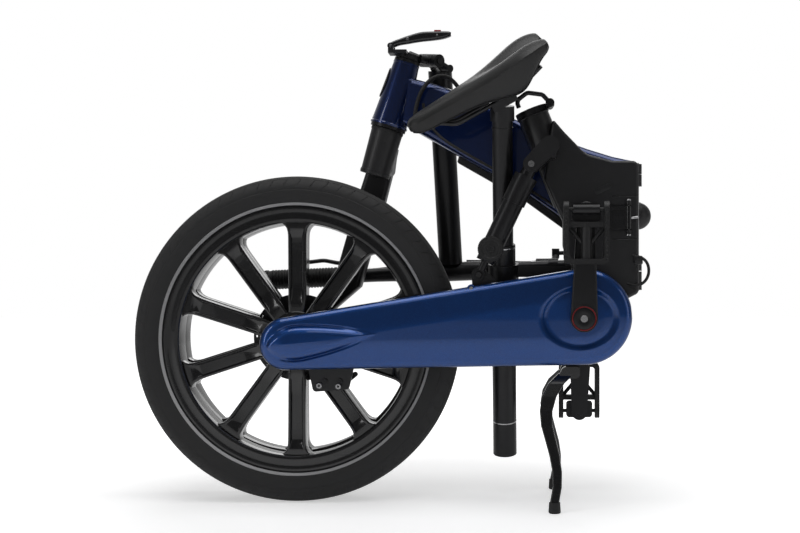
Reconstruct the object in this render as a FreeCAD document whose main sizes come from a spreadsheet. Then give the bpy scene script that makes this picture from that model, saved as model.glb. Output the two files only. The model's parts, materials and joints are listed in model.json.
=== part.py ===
"""Folding bicycle in its folded, stored state, as a parametric FreeCAD document.

Axes: X runs along the wheels, Z is up, and the drive side with the chaincase faces -Y.
The rear half and the front half lie side by side about one vertical frame hinge.
Lengths are millimetres and angles are degrees. Places are measured from the rear
wheel's mid plane (Y = 0) and the floor (Z = 0), then moved by one origin shift.
"""
import FreeCAD, Part
import math
import os

import Sketcher

os.makedirs("parts", exist_ok=True)
DOC = FreeCAD.newDocument("FoldingBicycle")

# ---------------------------------------------------------------- driving dimensions
SIZES = {
    # overall places
    "origin_shift_x": -7.0, "origin_shift_y": 34.0, "half_spacing": 62.0,
    "rear_axle_x": -163.0, "front_axle_x": -172.0, "wheel_radius": 259.0,
    "crank_axis_x": 292.0, "crank_axis_z": 295.0, "mating_face_x": 380.0,
    "mating_gap": 0.2, "fit_gap": 0.4, "running_gap": 0.05, "hinge_gap": 1.0,
    # wheels
    "tyre_width": 55.0, "tyre_height": 49.0, "bead_drop": 7.0,
    "rim_height": 26.0, "rim_width": 40.0, "rim_wall": 3.0,
    "spoke_count": 10, "spoke_width": 28.0, "spoke_depth": 24.0, "spoke_recess": 4.0,
    "hub_radius": 44.0, "hub_width": 40.0, "axle_radius": 8.5, "rotor_radius": 70.0,
    "rotor_thickness": 2.0, "rotor_slots": 24,
    # chaincase and transmission
    "case_front_y": -74.0, "case_back_y": -32.0, "case_split_y": -40.0, "case_wall": 2.6,
    "case_end_radius": 75.0, "case_tail_radius": 41.0, "dish_radius": 64.0,
    "dish_depth": 4.0, "case_hole_radius": 26.0, "blade_height": 4.5, "chainring_radius": 60.0,
    "sprocket_radius": 24.0, "chain_plane_y": -54.0, "chain_width": 7.0,
    # crank and pedals
    "crank_length": 165.0, "crank_lean": 1.0, "crank_inner_y": 93.0, "crank_thickness": 14.0,
    "crank_boss_radius": 21.0, "crank_eye_radius": 13.0, "spindle_radius": 12.0,
    "pedal_width": 69.0, "pedal_length": 95.0, "pedal_thickness": 25.0, "pedal_bar": 8.0,
    # rear frame
    "casting_half_width": 30.5, "seat_tube_lean": 22.0, "seat_tube_radius": 25.0,
    "seat_bore_radius": 17.0, "seat_mouth_x": 213.0, "seat_mouth_z": 616.0,
    "shell_radius": 36.0, "shell_end_y": 60.0, "hinge_knuckle_radius": 9.0,
    "hinge_pin_radius": 4.5, "front_cavity_depth": 52.0,
    # shock strut
    "strut_y": -47.0, "strut_top_x": 211.0, "strut_top_z": 533.0,
    "strut_foot_x": 129.0, "strut_foot_z": 361.0, "strut_radius": 16.5,
    "strut_knob_radius": 20.0, "strut_rod_radius": 6.0, "strut_knob_at": 148.0,
    # seat post and saddle
    "post_lean": 13.0, "post_x": 165.0, "post_bottom_z": 63.0, "post_pass_z": 480.0,
    "post_pass_y": -9.5, "post_lower_radius": 19.5, "post_upper_radius": 16.2,
    "post_step": 356.0, "post_length": 568.0, "dock_height": 366.0, "saddle_length": 262.0,
    "saddle_width": 144.0, "saddle_nose_width": 44.0, "saddle_tilt": 28.0,
    "saddle_turn": 8.0, "saddle_depth": 34.0,
    # kickstand
    "stand_pivot_x": 280.0, "stand_pivot_z": 212.0, "stand_spread": 112.0,
    # front half
    "head_angle": 16.0, "head_point_x": -11.0, "head_point_z": 657.0,
    "head_top_radius": 21.0, "head_bottom_radius": 30.0, "head_half_length": 54.0,
    "steerer_radius": 14.0, "tube_half_width": 28.5, "battery_radius": 22.5,
    "battery_length": 236.0, "battery_pitch": 22.0, "battery_z": 458.6,
    "fork_leg_y": 112.0, "fork_leg_width": 48.0, "fork_leg_thickness": 34.0,
    # stem and handlebar
    "stem_radius": 20.0, "bar_radius": 11.5, "grip_radius": 17.0, "bar_length": 636.0,
    "grip_length": 122.0,
}


def make_sheet():
    """Write the driving dimensions as text into an aliased spreadsheet."""
    sheet = DOC.addObject("Spreadsheet::Sheet", "Sizes")
    for row, (alias, value) in enumerate(SIZES.items(), start=1):
        sheet.set("A%d" % row, alias.replace("_", " "))
        sheet.set("B%d" % row, str(value))
        sheet.setAlias("B%d" % row, alias)
    DOC.recompute()
    return sheet


class Dim:
    """A length with its number and the spreadsheet formula that gives it."""

    def __init__(self, value, text):
        self.value = float(value)
        self.text = text

    @staticmethod
    def of(other):
        """Return other as a Dim, whatever it was."""
        return other if isinstance(other, Dim) else Dim(other, "%.6g" % other)

    def _join(self, other, value, sign):
        return Dim(value, "(%s %s %s)" % (self.text, sign, other.text))

    def __add__(self, other):
        other = Dim.of(other)
        return self._join(other, self.value + other.value, "+")

    def __sub__(self, other):
        other = Dim.of(other)
        return self._join(other, self.value - other.value, "-")

    def __mul__(self, other):
        other = Dim.of(other)
        return self._join(other, self.value * other.value, "*")

    def __truediv__(self, other):
        other = Dim.of(other)
        return self._join(other, self.value / other.value, "/")

    def __neg__(self):
        return Dim(-self.value, "(0 - %s)" % self.text)

    def __rsub__(self, other):
        return Dim.of(other) - self

    def __float__(self):
        return self.value


class SheetSizes:
    """Gives each sheet cell as a Dim (size.name) and as a number (size["name"])."""

    def __init__(self, sheet):
        self._sheet = sheet

    def __getattr__(self, alias):
        return Dim(self[alias], "<<Sizes>>.%s" % alias)

    def __getitem__(self, alias):
        return float(self._sheet.get(alias))


SIZE = SheetSizes(make_sheet())


def vec(x, y, z):
    """Shorthand for a vector."""
    return FreeCAD.Vector(float(x), float(y), float(z))


def bind(obj, prop, dim):
    """Set a property and tie it to the sheet."""
    dim = Dim.of(dim)
    setattr(obj, prop, dim.value)
    if "<<" in dim.text:
        obj.setExpression(prop, dim.text)


# ---------------------------------------------------------------- nodes of the model
NODES = []


def publish(obj, name, place=None):
    """Label a sub-part, put it in the shared frame and remember it for export."""
    obj.Label = name
    base = place if place is not None else vec(0, 0, 0)
    shift = vec(SIZE["origin_shift_x"], SIZE["origin_shift_y"], 0)
    obj.Placement = FreeCAD.Placement(base - shift, FreeCAD.Rotation()).multiply(obj.Placement)
    NODES.append(obj)
    return obj


def feature(name, shape):
    """Store a finished shape as a Part::Feature node."""
    obj = DOC.addObject("Part::Feature", name)
    obj.Shape = shape
    return publish(obj, name)


# ---------------------------------------------------------------- sketch based bodies
class BodyMaker:
    """Builds one PartDesign body from sketches tied to the sheet."""

    def __init__(self, name):
        self.name = name
        self.body = DOC.addObject("PartDesign::Body", name)

    def origin(self, role):
        """Return an origin plane or axis of this body."""
        return [item for item in self.body.Origin.OriginFeatures if item.Role == role][0]

    def sketch(self, label, plane, offset=0.0):
        """Start a sketch on an origin plane, moved along its normal by offset."""
        made = self.body.newObject("Sketcher::SketchObject", self.name + label)
        made.AttachmentSupport = [(self.origin(plane), "")]
        made.MapMode = "FlatFace"
        offset = Dim.of(offset)
        made.AttachmentOffset = FreeCAD.Placement(vec(0, 0, offset), FreeCAD.Rotation())
        if "<<" in offset.text:
            made.setExpression("AttachmentOffset.Base.z", offset.text)
        return made

    def outline(self, sketch, corners):
        """Draw a closed outline; a corner is (x, y) or (x, y, bulge radius to the next)."""
        first = len(sketch.Geometry)
        count = len(corners)
        for index, corner in enumerate(corners):
            after = corners[(index + 1) % count]
            start = vec(float(corner[0]), float(corner[1]), 0)
            end = vec(float(after[0]), float(after[1]), 0)
            sketch.addGeometry(edge_between(start, end, corner[2:]), False)
        for index in range(count):
            nxt = first + (index + 1) % count
            self._join(sketch, first + index, nxt)
            self._fix(sketch, first + index, corners[index])

    @staticmethod
    def _join(sketch, index, nxt):
        tail = 2 if not clockwise(sketch.Geometry[index]) else 1
        head = 1 if not clockwise(sketch.Geometry[nxt]) else 2
        sketch.addConstraint(Sketcher.Constraint("Coincident", index, tail, nxt, head))

    @staticmethod
    def _fix(sketch, index, corner):
        point = 1 if not clockwise(sketch.Geometry[index]) else 2
        for kind, dim in (("DistanceX", Dim.of(corner[0])), ("DistanceY", Dim.of(corner[1]))):
            made = sketch.addConstraint(
                Sketcher.Constraint(kind, -1, 1, index, point, dim.value))
            if "<<" in dim.text:
                sketch.setExpression("Constraints[%d]" % made, dim.text)
        if len(corner) > 2:
            radius = Dim.of(corner[2])
            made = sketch.addConstraint(
                Sketcher.Constraint("Radius", index, abs(radius.value)))
            if "<<" in radius.text and radius.value > 0:
                sketch.setExpression("Constraints[%d]" % made, radius.text)

    def circle(self, sketch, x, y, radius):
        """Draw a circle whose centre and radius follow the sheet."""
        spot = vec(float(x), float(y), 0)
        made = sketch.addGeometry(Part.Circle(spot, vec(0, 0, 1), float(radius)), False)
        for kind, dim in (("DistanceX", Dim.of(x)), ("DistanceY", Dim.of(y))):
            held = sketch.addConstraint(Sketcher.Constraint(kind, -1, 1, made, 3, dim.value))
            if "<<" in dim.text:
                sketch.setExpression("Constraints[%d]" % held, dim.text)
        size = Dim.of(radius)
        held = sketch.addConstraint(Sketcher.Constraint("Radius", made, size.value))
        if "<<" in size.text:
            sketch.setExpression("Constraints[%d]" % held, size.text)

    def pad(self, sketch, length, both_ways=True, cut=False, backwards=False):
        """Pad or pocket a sketch, evenly to both sides unless told otherwise."""
        kind = "PartDesign::Pocket" if cut else "PartDesign::Pad"
        made = self.body.newObject(kind, sketch.Name + ("Cut" if cut else "Pad"))
        made.Profile = sketch
        bind(made, "Length", length)
        if both_ways:
            made.SideType = "Symmetric"
        made.Reversed = backwards
        return made

    def spin(self, sketch, cut=False):
        """Revolve a sketch drawn on the YZ plane about the body's Y axis."""
        kind = "PartDesign::Groove" if cut else "PartDesign::Revolution"
        made = self.body.newObject(kind, sketch.Name + "Turn")
        made.Profile = sketch
        made.ReferenceAxis = (sketch, ["H_Axis"])
        made.Angle = 360
        return made

    def around(self, item, count):
        """Repeat a feature about the body's Y axis."""
        made = self.body.newObject("PartDesign::PolarPattern", item.Name + "Ring")
        made.Originals = [item]
        made.Axis = (self.origin("Y_Axis"), [""])
        made.Angle = 360
        made.Occurrences = int(float(count))
        if isinstance(count, Dim):
            made.setExpression("Occurrences", count.text)
        self.body.Tip = made
        return made

    def done(self, place):
        """Recompute and publish the body at its place."""
        DOC.recompute()
        return publish(self.body, self.name, place)


def edge_between(start, end, bulge):
    """Return a line, or an arc whose radius sign picks the side that it bulges to."""
    if not bulge:
        return Part.LineSegment(start, end)
    radius = float(bulge[0])
    chord = end - start
    half = chord.Length / 2.0
    sagitta = abs(radius) - math.sqrt(max(radius * radius - half * half, 0.0))
    side = vec(-chord.y, chord.x, 0).normalize() * (sagitta if radius > 0 else -sagitta)
    middle = (start + end) * 0.5 + side
    return Part.ArcOfCircle(start, middle, end)


def clockwise(curve):
    """Tell whether a sketch arc was stored end to start, as clockwise arcs are."""
    return isinstance(curve, Part.ArcOfCircle) and curve.Axis.z < 0


# ---------------------------------------------------------------- plain shape helpers
def rod(start, end, radius):
    """Cylinder between two points."""
    axis = end - start
    return Part.makeCylinder(float(radius), axis.Length, start, axis)


def ring(start, end, outer, inner):
    """Tube between two points."""
    return rod(start, end, outer).cut(rod(start, end, inner))


def pin_y(x, z, radius, y_from, y_to):
    """Cylinder along Y."""
    return rod(vec(x, y_from, z), vec(x, y_to, z), radius)


def box(x0, x1, y0, y1, z0, z1):
    """Box from its limits."""
    return Part.makeBox(x1 - x0, y1 - y0, z1 - z0, vec(x0, y0, z0))


def rounded_wire(corners, place):
    """Closed wire of lines and tangent arcs; corners are (u, v, corner radius)."""
    count = len(corners)
    arcs = []
    for index, (u, v, radius) in enumerate(corners):
        here = vec(u, v, 0)
        back = vec(*corners[index - 1][:2], 0) - here
        ahead = vec(*corners[(index + 1) % count][:2], 0) - here
        turn = back.getAngle(ahead)
        reach = radius / math.tan(turn / 2.0) if radius else 0.0
        arrive = here + back.normalize() * reach
        leave = here + ahead.normalize() * reach
        bisector = (back + ahead).normalize() if radius else back
        middle = here + bisector * (radius / math.sin(turn / 2.0) - radius) if radius else here
        arcs.append((place(arrive), place(middle), place(leave), radius))
    edges = []
    for index, (arrive, middle, leave, radius) in enumerate(arcs):
        if radius:
            edges.append(Part.Arc(arrive, middle, leave).toShape())
        following = arcs[(index + 1) % count][0]
        if (following - leave).Length > 1e-6:
            edges.append(Part.LineSegment(leave, following).toShape())
    return Part.Wire(edges)


def prism_y(corners, y_from, y_to):
    """Rounded outline in the XZ plane, extruded along Y."""
    wire = rounded_wire(corners, lambda p: vec(p.x, y_from, p.y))
    return Part.Face(wire).extrude(vec(0, y_to - y_from, 0))


def taper_link(x0, z0, r0, x1, z1, r1, y_from, y_to):
    """Flat link along Y: two round ends joined by their outer tangents."""
    gap = math.hypot(x1 - x0, z1 - z0)
    heading = math.atan2(z1 - z0, x1 - x0)
    lean = math.acos((r0 - r1) / gap)
    corners = []
    for x, z, r, signs in ((x0, z0, r0, (1, -1)), (x1, z1, r1, (-1, 1))):
        for sign in signs:
            angle = heading + sign * lean
            corners.append((x + r * math.cos(angle), z + r * math.sin(angle), 0))
    body = prism_y(corners, y_from, y_to)
    ends = [pin_y(x0, z0, r0, y_from, y_to), pin_y(x1, z1, r1, y_from, y_to)]
    return body.multiFuse(ends).removeSplitter()


def pipe(points, bend, radius):
    """Round bar of straight runs joined by tangent bends of one radius."""
    runs = []
    start = points[0]
    for before, here, after in zip(points, points[1:], points[2:]):
        back = (before - here).normalize()
        ahead = (after - here).normalize()
        turn = back.getAngle(ahead)
        arrive = here + back * (bend / math.tan(turn / 2.0))
        runs.append(rod(start, arrive, radius))
        hub = here + (back + ahead).normalize() * (bend / math.sin(turn / 2.0))
        section = Part.Face(Part.Wire([Part.Circle(arrive, back, radius).toShape()]))
        runs.append(section.revolve(hub, ahead.cross(back), 180.0 - math.degrees(turn)))
        start = here + ahead * (bend / math.tan(turn / 2.0))
    runs.append(rod(start, points[-1], radius))
    return runs[0].multiFuse(runs[1:]).removeSplitter()


def edges_at(shape, test):
    """Edges whose every vertex passes a test."""
    return [e for e in shape.Edges if all(test(v.Point) for v in e.Vertexes)]


def polar(x, z, radius, degrees):
    """Point in the XZ plane about (x, z)."""
    angle = math.radians(degrees)
    return x + radius * math.cos(angle), z + radius * math.sin(angle)


# ---------------------------------------------------------------- key points
Y_FRONT = SIZE["half_spacing"]
REAR_AXLE = vec(SIZE["rear_axle_x"], 0, SIZE["wheel_radius"])
FRONT_AXLE = vec(SIZE["front_axle_x"], Y_FRONT, SIZE["wheel_radius"])
CRANK = vec(SIZE["crank_axis_x"], 0, SIZE["crank_axis_z"])
HINGE_Y = Y_FRONT / 2.0
LATCH_PIN = vec(364, -SIZE["casting_half_width"] - 3, 451)
STEM_LATCH_PIN = vec(-18, Y_FRONT - 29, 731)
SEAT_MOUTH = vec(SIZE["seat_mouth_x"], 0, SIZE["seat_mouth_z"])
RIM_FLANGE = SIZE.wheel_radius - SIZE.tyre_height
RIM_BEAD = RIM_FLANGE - SIZE.bead_drop
RIM_INNER = RIM_FLANGE - SIZE.rim_height


# ---------------------------------------------------------------- wheels
def make_tyre(name, axle):
    """Tyre: seated between the rim flanges, round in section."""
    maker = BodyMaker(name)
    sketch = maker.sketch("Section", "YZ_Plane")
    half = SIZE.tyre_width / 2
    seat = SIZE.rim_width / 2 - SIZE.rim_wall - SIZE.fit_gap
    widest = (SIZE.wheel_radius + RIM_FLANGE) / 2
    low = RIM_BEAD + SIZE.fit_gap
    bulge = [(seat, RIM_FLANGE + 1), (half * 0.9, widest - 12), (half, widest),
             (half * 0.92, widest + 12), (half * 0.62, SIZE.wheel_radius - 5),
             (half * 0.3, SIZE.wheel_radius)]
    mirrored = [(across * -1, radius) for across, radius in reversed(bulge)]
    maker.outline(sketch, [(-seat, low), (seat, low)] + bulge + mirrored)
    maker.spin(sketch)
    return maker.done(axle)


def make_rim(name, axle):
    """Rim: hook flanges, bead seats and a deep inner ring, open to the tyre."""
    maker = BodyMaker(name)
    sketch = maker.sketch("Section", "YZ_Plane")
    half = SIZE.rim_width / 2
    wall = SIZE.rim_wall
    inner = RIM_INNER
    maker.outline(sketch, [
        (-half, inner + 5), (half * -0.6, inner), (half * 0.6, inner), (half, inner + 5),
        (half, RIM_FLANGE), (half - wall, RIM_FLANGE),
        (half - wall, RIM_BEAD), (half * 0.5, RIM_BEAD - 1),
        (half * 0.4, inner + 6), (half * -0.4, inner + 6),
        (half * -0.5, RIM_BEAD - 1), (wall - half, RIM_BEAD),
        (wall - half, RIM_FLANGE), (-half, RIM_FLANGE)])
    maker.spin(sketch)
    return maker.done(axle)


def make_spokes(name, axle):
    """Ten cast spokes with a recessed channel on both faces."""
    inner = SIZE["hub_radius"] - 1.5
    outer = float(RIM_INNER)
    width, depth = SIZE["spoke_width"], SIZE["spoke_depth"]
    root = 0.5 * width * 0.96
    tip = 0.5 * width
    blade = prism_y([(-root, inner, 0), (root, inner, 0), (tip, outer - 6, 3),
                     (tip + 5, outer - 1.2, 0), (-tip - 5, outer - 1.2, 0),
                     (-tip, outer - 6, 3)], -depth / 2, depth / 2)
    lip = 4.2
    for side in (-1, 1):
        face = side * depth / 2
        floor = face - side * SIZE["spoke_recess"]
        low, high = min(face, floor), max(face, floor)
        channel = prism_y([(lip - root, inner + 16, 3), (root - lip, inner + 16, 3),
                           (tip - lip, outer - 12, 3), (lip - tip, outer - 12, 3)], low, high)
        blade = blade.cut(channel)
    rim_cut = ring(vec(0, -depth, 0), vec(0, depth, 0), outer + 20, outer - 0.3)
    hub_cut = rod(vec(0, -depth, 0), vec(0, depth, 0), SIZE["hub_radius"] + 0.3)
    blade = blade.cut(rim_cut).cut(hub_cut)
    count = int(SIZE["spoke_count"])
    blades = []
    for index in range(count):
        turned = blade.copy()
        turned.rotate(vec(0, 0, 0), vec(0, 1, 0), index * 360.0 / count)
        turned.translate(axle)
        blades.append(turned)
    return feature(name, Part.makeCompound(blades))


def make_hub(name, axle, flange_side):
    """Hub shell, bored for the axle, with the boss that carries the disc."""
    maker = BodyMaker(name)
    sketch = maker.sketch("Section", "YZ_Plane")
    half = SIZE.hub_width / 2
    bore = SIZE.axle_radius + SIZE.running_gap
    boss = SIZE.hub_radius * 0.62
    side = flange_side
    corners = [(half * -1, bore), (half, bore), (half, SIZE.hub_radius - 6),
               (half * 0.7, SIZE.hub_radius), (half * -0.7, SIZE.hub_radius),
               (half * -1, SIZE.hub_radius - 6)]
    corners = [(y * side, radius) for y, radius in corners]
    maker.outline(sketch, corners)
    maker.spin(sketch)
    collar = maker.sketch("Boss", "YZ_Plane")
    maker.outline(collar, [(half * (-0.9 * side), bore), (half * (-1.22 * side), bore),
                           (half * (-1.22 * side), boss), (half * (-0.9 * side), boss)])
    maker.spin(collar)
    return maker.done(axle)


def make_rotor(name, axle, side):
    """Brake disc with paired slots and a bolted centre."""
    maker = BodyMaker(name)
    thickness = SIZE.rotor_thickness
    plane = SIZE.hub_width * 0.61 + SIZE.rotor_thickness / 2
    disc = maker.sketch("Disc", "XZ_Plane", plane * side)
    maker.circle(disc, 0, 0, SIZE.rotor_radius)
    maker.circle(disc, 0, 0, SIZE.axle_radius + 3)
    maker.pad(disc, thickness)
    DOC.recompute()
    slot = maker.sketch("Slot", "XZ_Plane", plane * side)
    low, high = SIZE.rotor_radius - 13, SIZE.rotor_radius - 4
    maker.outline(slot, [(-1.6, low), (1.6, low), (3.6, high), (0.4, high)])
    cut = maker.pad(slot, thickness * 3, cut=True)
    maker.around(cut, SIZE.rotor_slots)
    return maker.done(axle)


def make_wheel(prefix, axle, disc_side):
    """All the pieces of one wheel."""
    make_tyre(prefix + "_tyre", axle)
    make_rim(prefix + "_rim", axle)
    make_spokes(prefix + "_spokes", axle)
    make_hub(prefix + "_hub", axle, disc_side)
    make_rotor(prefix + "_brake_disc", axle, disc_side)


# ---------------------------------------------------------------- rear frame half
def seat_axis():
    """Unit vector up the seat tube."""
    lean = math.radians(SIZE["seat_tube_lean"])
    return vec(-math.sin(lean), 0, math.cos(lean))


def make_main_frame():
    """Cast rear frame with its seat tube, the open frame of its mating face and the shell."""
    half = SIZE["casting_half_width"]
    face = SIZE["mating_face_x"] - SIZE["mating_gap"]
    cx, cz = CRANK.x, CRANK.z
    body = prism_y([(230, 512, 8), (260, 446, 15), (260, 405, 20), (276, 372, 15),
                    (258, 330, 15), (252, 268, 25), (328, 262, 30), (352, 318, 8),
                    (face, 332, 8), (face, 541, 10), (338, 541, 24), (296, 552, 34),
                    (262, 587, 15), (244, 608, 3)], -half, half)
    long_edges = [e for e in body.Edges
                  if abs(abs(e.CenterOfMass.y) - half) < 0.01 and e.CenterOfMass.x < face - 12]
    body = body.makeFillet(5.0, long_edges)
    mouth = vec(SIZE["seat_mouth_x"], 0, SIZE["seat_mouth_z"])
    foot = mouth - seat_axis() * 150
    tube = rod(foot, mouth, SIZE["seat_tube_radius"])
    body = body.multiFuse([tube, pin_y(cx, cz, SIZE["shell_radius"], -half, half)])
    shell = pin_y(cx, cz, SIZE["shell_radius"], half, SIZE["shell_end_y"])
    bore = rod(mouth - seat_axis() * 130, mouth + seat_axis() * 5, SIZE["seat_bore_radius"])
    crank_bore = pin_y(cx, cz, SIZE["spindle_radius"] + 8, -half - 5, SIZE["shell_end_y"] + 5)
    depth = SIZE["front_cavity_depth"]
    cavity = prism_y([(face - depth, 380, 10), (face + 5, 380, 0), (face + 5, 524, 0),
                      (face - depth, 524, 10)], -half + 3.5, half - 3.5)
    recess = prism_y([(331, 430, 4), (369, 430, 4), (369, 472, 4), (331, 472, 4)],
                     -half - 1, -half + 2.2)
    swept = rod(vec(face, HINGE_Y, 330), vec(face, HINGE_Y, 548),
                SIZE["hinge_knuckle_radius"] + 0.6)
    body = body.cut(bore).cut(crank_bore).cut(cavity).cut(recess).cut(swept)
    mouth_side = box(face - depth, face + 20, -half - 10, half + 10, 250, 600)
    mating = body.common(mouth_side).multiFuse(latch_lugs()).removeSplitter()
    lugs = [lug.cut(mating) for lug in hinge_lugs(MAIN_BARRELS, -4.5, -1)]
    walls = [mating.common(limits) for limits in mouth_walls(half - 3.5, 380, 524)]
    body = body.cut(mouth_side).multiFuse(shock_ears() + stand_lugs()).removeSplitter()
    feature("main_frame", body)
    feature("mating_frame", Part.makeCompound(walls + lugs))
    feature("crank_shell", shell.cut(crank_bore))
    feature("post_dock", dock_arm().cut(body))


def mouth_walls(inside, low, high):
    """Four regions that part the mating face's open frame into its walls."""
    x0, x1, far = 250, 400, 80
    return [box(x0, x1, -far, -inside, 200, 650), box(x0, x1, inside, far, 200, 650),
            box(x0, x1, -inside, inside, high, 650), box(x0, x1, -inside, inside, 200, low)]


MAIN_BARRELS = ((336, 366), (524, 540))
FRONT_BARRELS = ((366 + SIZE["hinge_gap"], 386), (504, 524 - SIZE["hinge_gap"]))


def hinge_lugs(barrels, web_low, web_high):
    """Hinge barrels on the fold axis, each with the web that ties it to its casting."""
    radius = SIZE["hinge_knuckle_radius"]
    bore = SIZE["hinge_pin_radius"] + SIZE["running_gap"]
    x, y = SIZE["mating_face_x"], HINGE_Y
    made = []
    for low, high in barrels:
        barrel = ring(vec(x, y, low), vec(x, y, high), radius, bore)
        web = box(x - 16, x, y + web_low, y + web_high, low, high)
        web = web.cut(rod(vec(x, y, low - 1), vec(x, y, high + 1), radius - 1))
        made.append(barrel.fuse(web))
    return made


def latch_lugs():
    """Two small lugs that carry the pin of the frame latch."""
    x, y = LATCH_PIN.x, LATCH_PIN.y
    made = []
    for low, high in ((425, 431), (471, 477)):
        lug = rod(vec(x, y, low), vec(x, y, high), 4.5)
        foot = box(x - 4.5, x + 4.5, y, y + 4, low, high)
        made.append(lug.fuse(foot).cut(rod(vec(x, y, 420), vec(x, y, 480), 2.05)))
    return made


def shock_ears():
    """Fork of two ears on the seat tube that holds the shock's top eye."""
    x, z, y = SIZE["strut_top_x"], SIZE["strut_top_z"], SIZE["strut_y"]
    made = []
    for low, high in ((y - 19, y - 14), (y + 14, y + 19)):
        ear = taper_link(x, z, 13, 240, 562, 15, low, high)
        made.append(ear.cut(pin_y(x, z, 5, low - 1, high + 1)))
    bridge = prism_y([(222, 552, 3), (248, 541, 3), (254, 562, 3), (228, 573, 3)], y - 19, 0)
    mouth = vec(SIZE["seat_mouth_x"], 0, SIZE["seat_mouth_z"])
    made.append(bridge.cut(rod(mouth - seat_axis() * 130, mouth, SIZE["seat_bore_radius"])))
    return made


def stand_lugs():
    """Lug under the crank shell that carries the kickstand's pivot."""
    x, z = SIZE["stand_pivot_x"], SIZE["stand_pivot_z"]
    lug = prism_y([(x - 14, z - 10, 8), (x + 9, z - 10, 8), (x + 9, z + 12, 3), (x + 20, 268, 3),
                   (x - 20, 268, 3)], -22, 22)
    return [lug.cut(pin_y(x, z, 5 + SIZE["running_gap"], -30, 30))]


def post_point(height):
    """Point on the stowed seat post's axis at a height above the floor."""
    slope = math.tan(math.radians(SIZE["post_lean"]))
    y = SIZE["post_pass_y"] + (SIZE["post_pass_z"] - height) * slope
    return vec(SIZE["post_x"], y, height)


def post_axis():
    """Unit vector up the stowed seat post."""
    lean = math.radians(SIZE["post_lean"])
    return vec(0, -math.sin(lean), math.cos(lean))


def dock_arm():
    """Arm and ring that hold the stowed seat post on the rear half."""
    centre = post_point(SIZE["dock_height"])
    axis = post_axis()
    hole = SIZE["post_lower_radius"] + SIZE["fit_gap"]
    collar = rod(centre - axis * 13, centre + axis * 13, hole + 4.5)
    arm = box(SIZE["post_x"] + 10, 272, centre.y - 8, centre.y + 6,
              centre.z - 9, centre.z + 9)
    passage = rod(centre - axis * 30, centre + axis * 30, hole)
    return collar.fuse(arm).cut(passage)


def make_rear_small_parts():
    """Bearing cups, hinge pin, stand pin and the seat clamp band."""
    x, z = CRANK.x, CRANK.z
    cups = []
    for low, high in ((-SIZE["casting_half_width"] - 1.5, -14), (44, SIZE["shell_end_y"] + 4)):
        cups.append(ring(vec(x, low, z), vec(x, high, z), SIZE["spindle_radius"] + 8,
                         SIZE["spindle_radius"] + SIZE["running_gap"]))
    feature("crank_bearings", Part.makeCompound(cups))
    pin = rod(vec(SIZE["mating_face_x"], HINGE_Y, 334), vec(SIZE["mating_face_x"], HINGE_Y, 542),
              SIZE["hinge_pin_radius"])
    bolt = pin_y(SIZE["strut_top_x"], SIZE["strut_top_z"], 5, SIZE["strut_y"] - 21,
                 SIZE["strut_y"] + 19)
    feature("frame_pins", Part.makeCompound([pin, bolt]))
    mouth = vec(SIZE["seat_mouth_x"], 0, SIZE["seat_mouth_z"])
    axis = seat_axis()
    band = ring(mouth, mouth + axis * 9, SIZE["seat_tube_radius"] + 1.5,
                SIZE["seat_bore_radius"] + 0.3)
    across = vec(axis.z, 0, -axis.x)
    lug_at = mouth + axis * 4.5 + across * (SIZE["seat_tube_radius"] + 6)
    lug = pin_y(lug_at.x, lug_at.z, 5.5, -12, 12)
    neck = rod(lug_at - across * 12 - vec(0, 10, 0), lug_at - across * 12 + vec(0, 10, 0), 4)
    neck = neck.fuse(box(lug_at.x - 11, lug_at.x, -12, 12, lug_at.z - 8, lug_at.z - 1))
    neck = neck.cut(rod(mouth - axis * 5, mouth + axis * 14, SIZE["seat_bore_radius"] + 0.3))
    neck = neck.cut(rod(mouth - axis * 12, mouth, SIZE["seat_tube_radius"] + 30))
    band = band.multiFuse([lug, neck])
    slot = box(lug_at.x - 22, lug_at.x + 14, -1.2, 1.2, lug_at.z - 16, lug_at.z + 12)
    skewer = pin_y(lug_at.x, lug_at.z, 2.5, -36, 16)
    nut = pin_y(lug_at.x, lug_at.z, 5, 12, 17)
    band = band.cut(slot).multiFuse([skewer, nut])
    feature("seat_clamp_band", band.removeSplitter())


# ---------------------------------------------------------------- chaincase swingarm
def case_block(shrink, y_from, y_to):
    """Solid with the chaincase's side outline; shrink moves every wall inwards."""
    tail_x = SIZE["rear_axle_x"] - 7
    tail_z = SIZE["wheel_radius"] - 5
    return taper_link(CRANK.x + 1, CRANK.z + 1, SIZE["case_end_radius"] - shrink,
                      tail_x, tail_z, SIZE["case_tail_radius"] - shrink, y_from, y_to)


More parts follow.
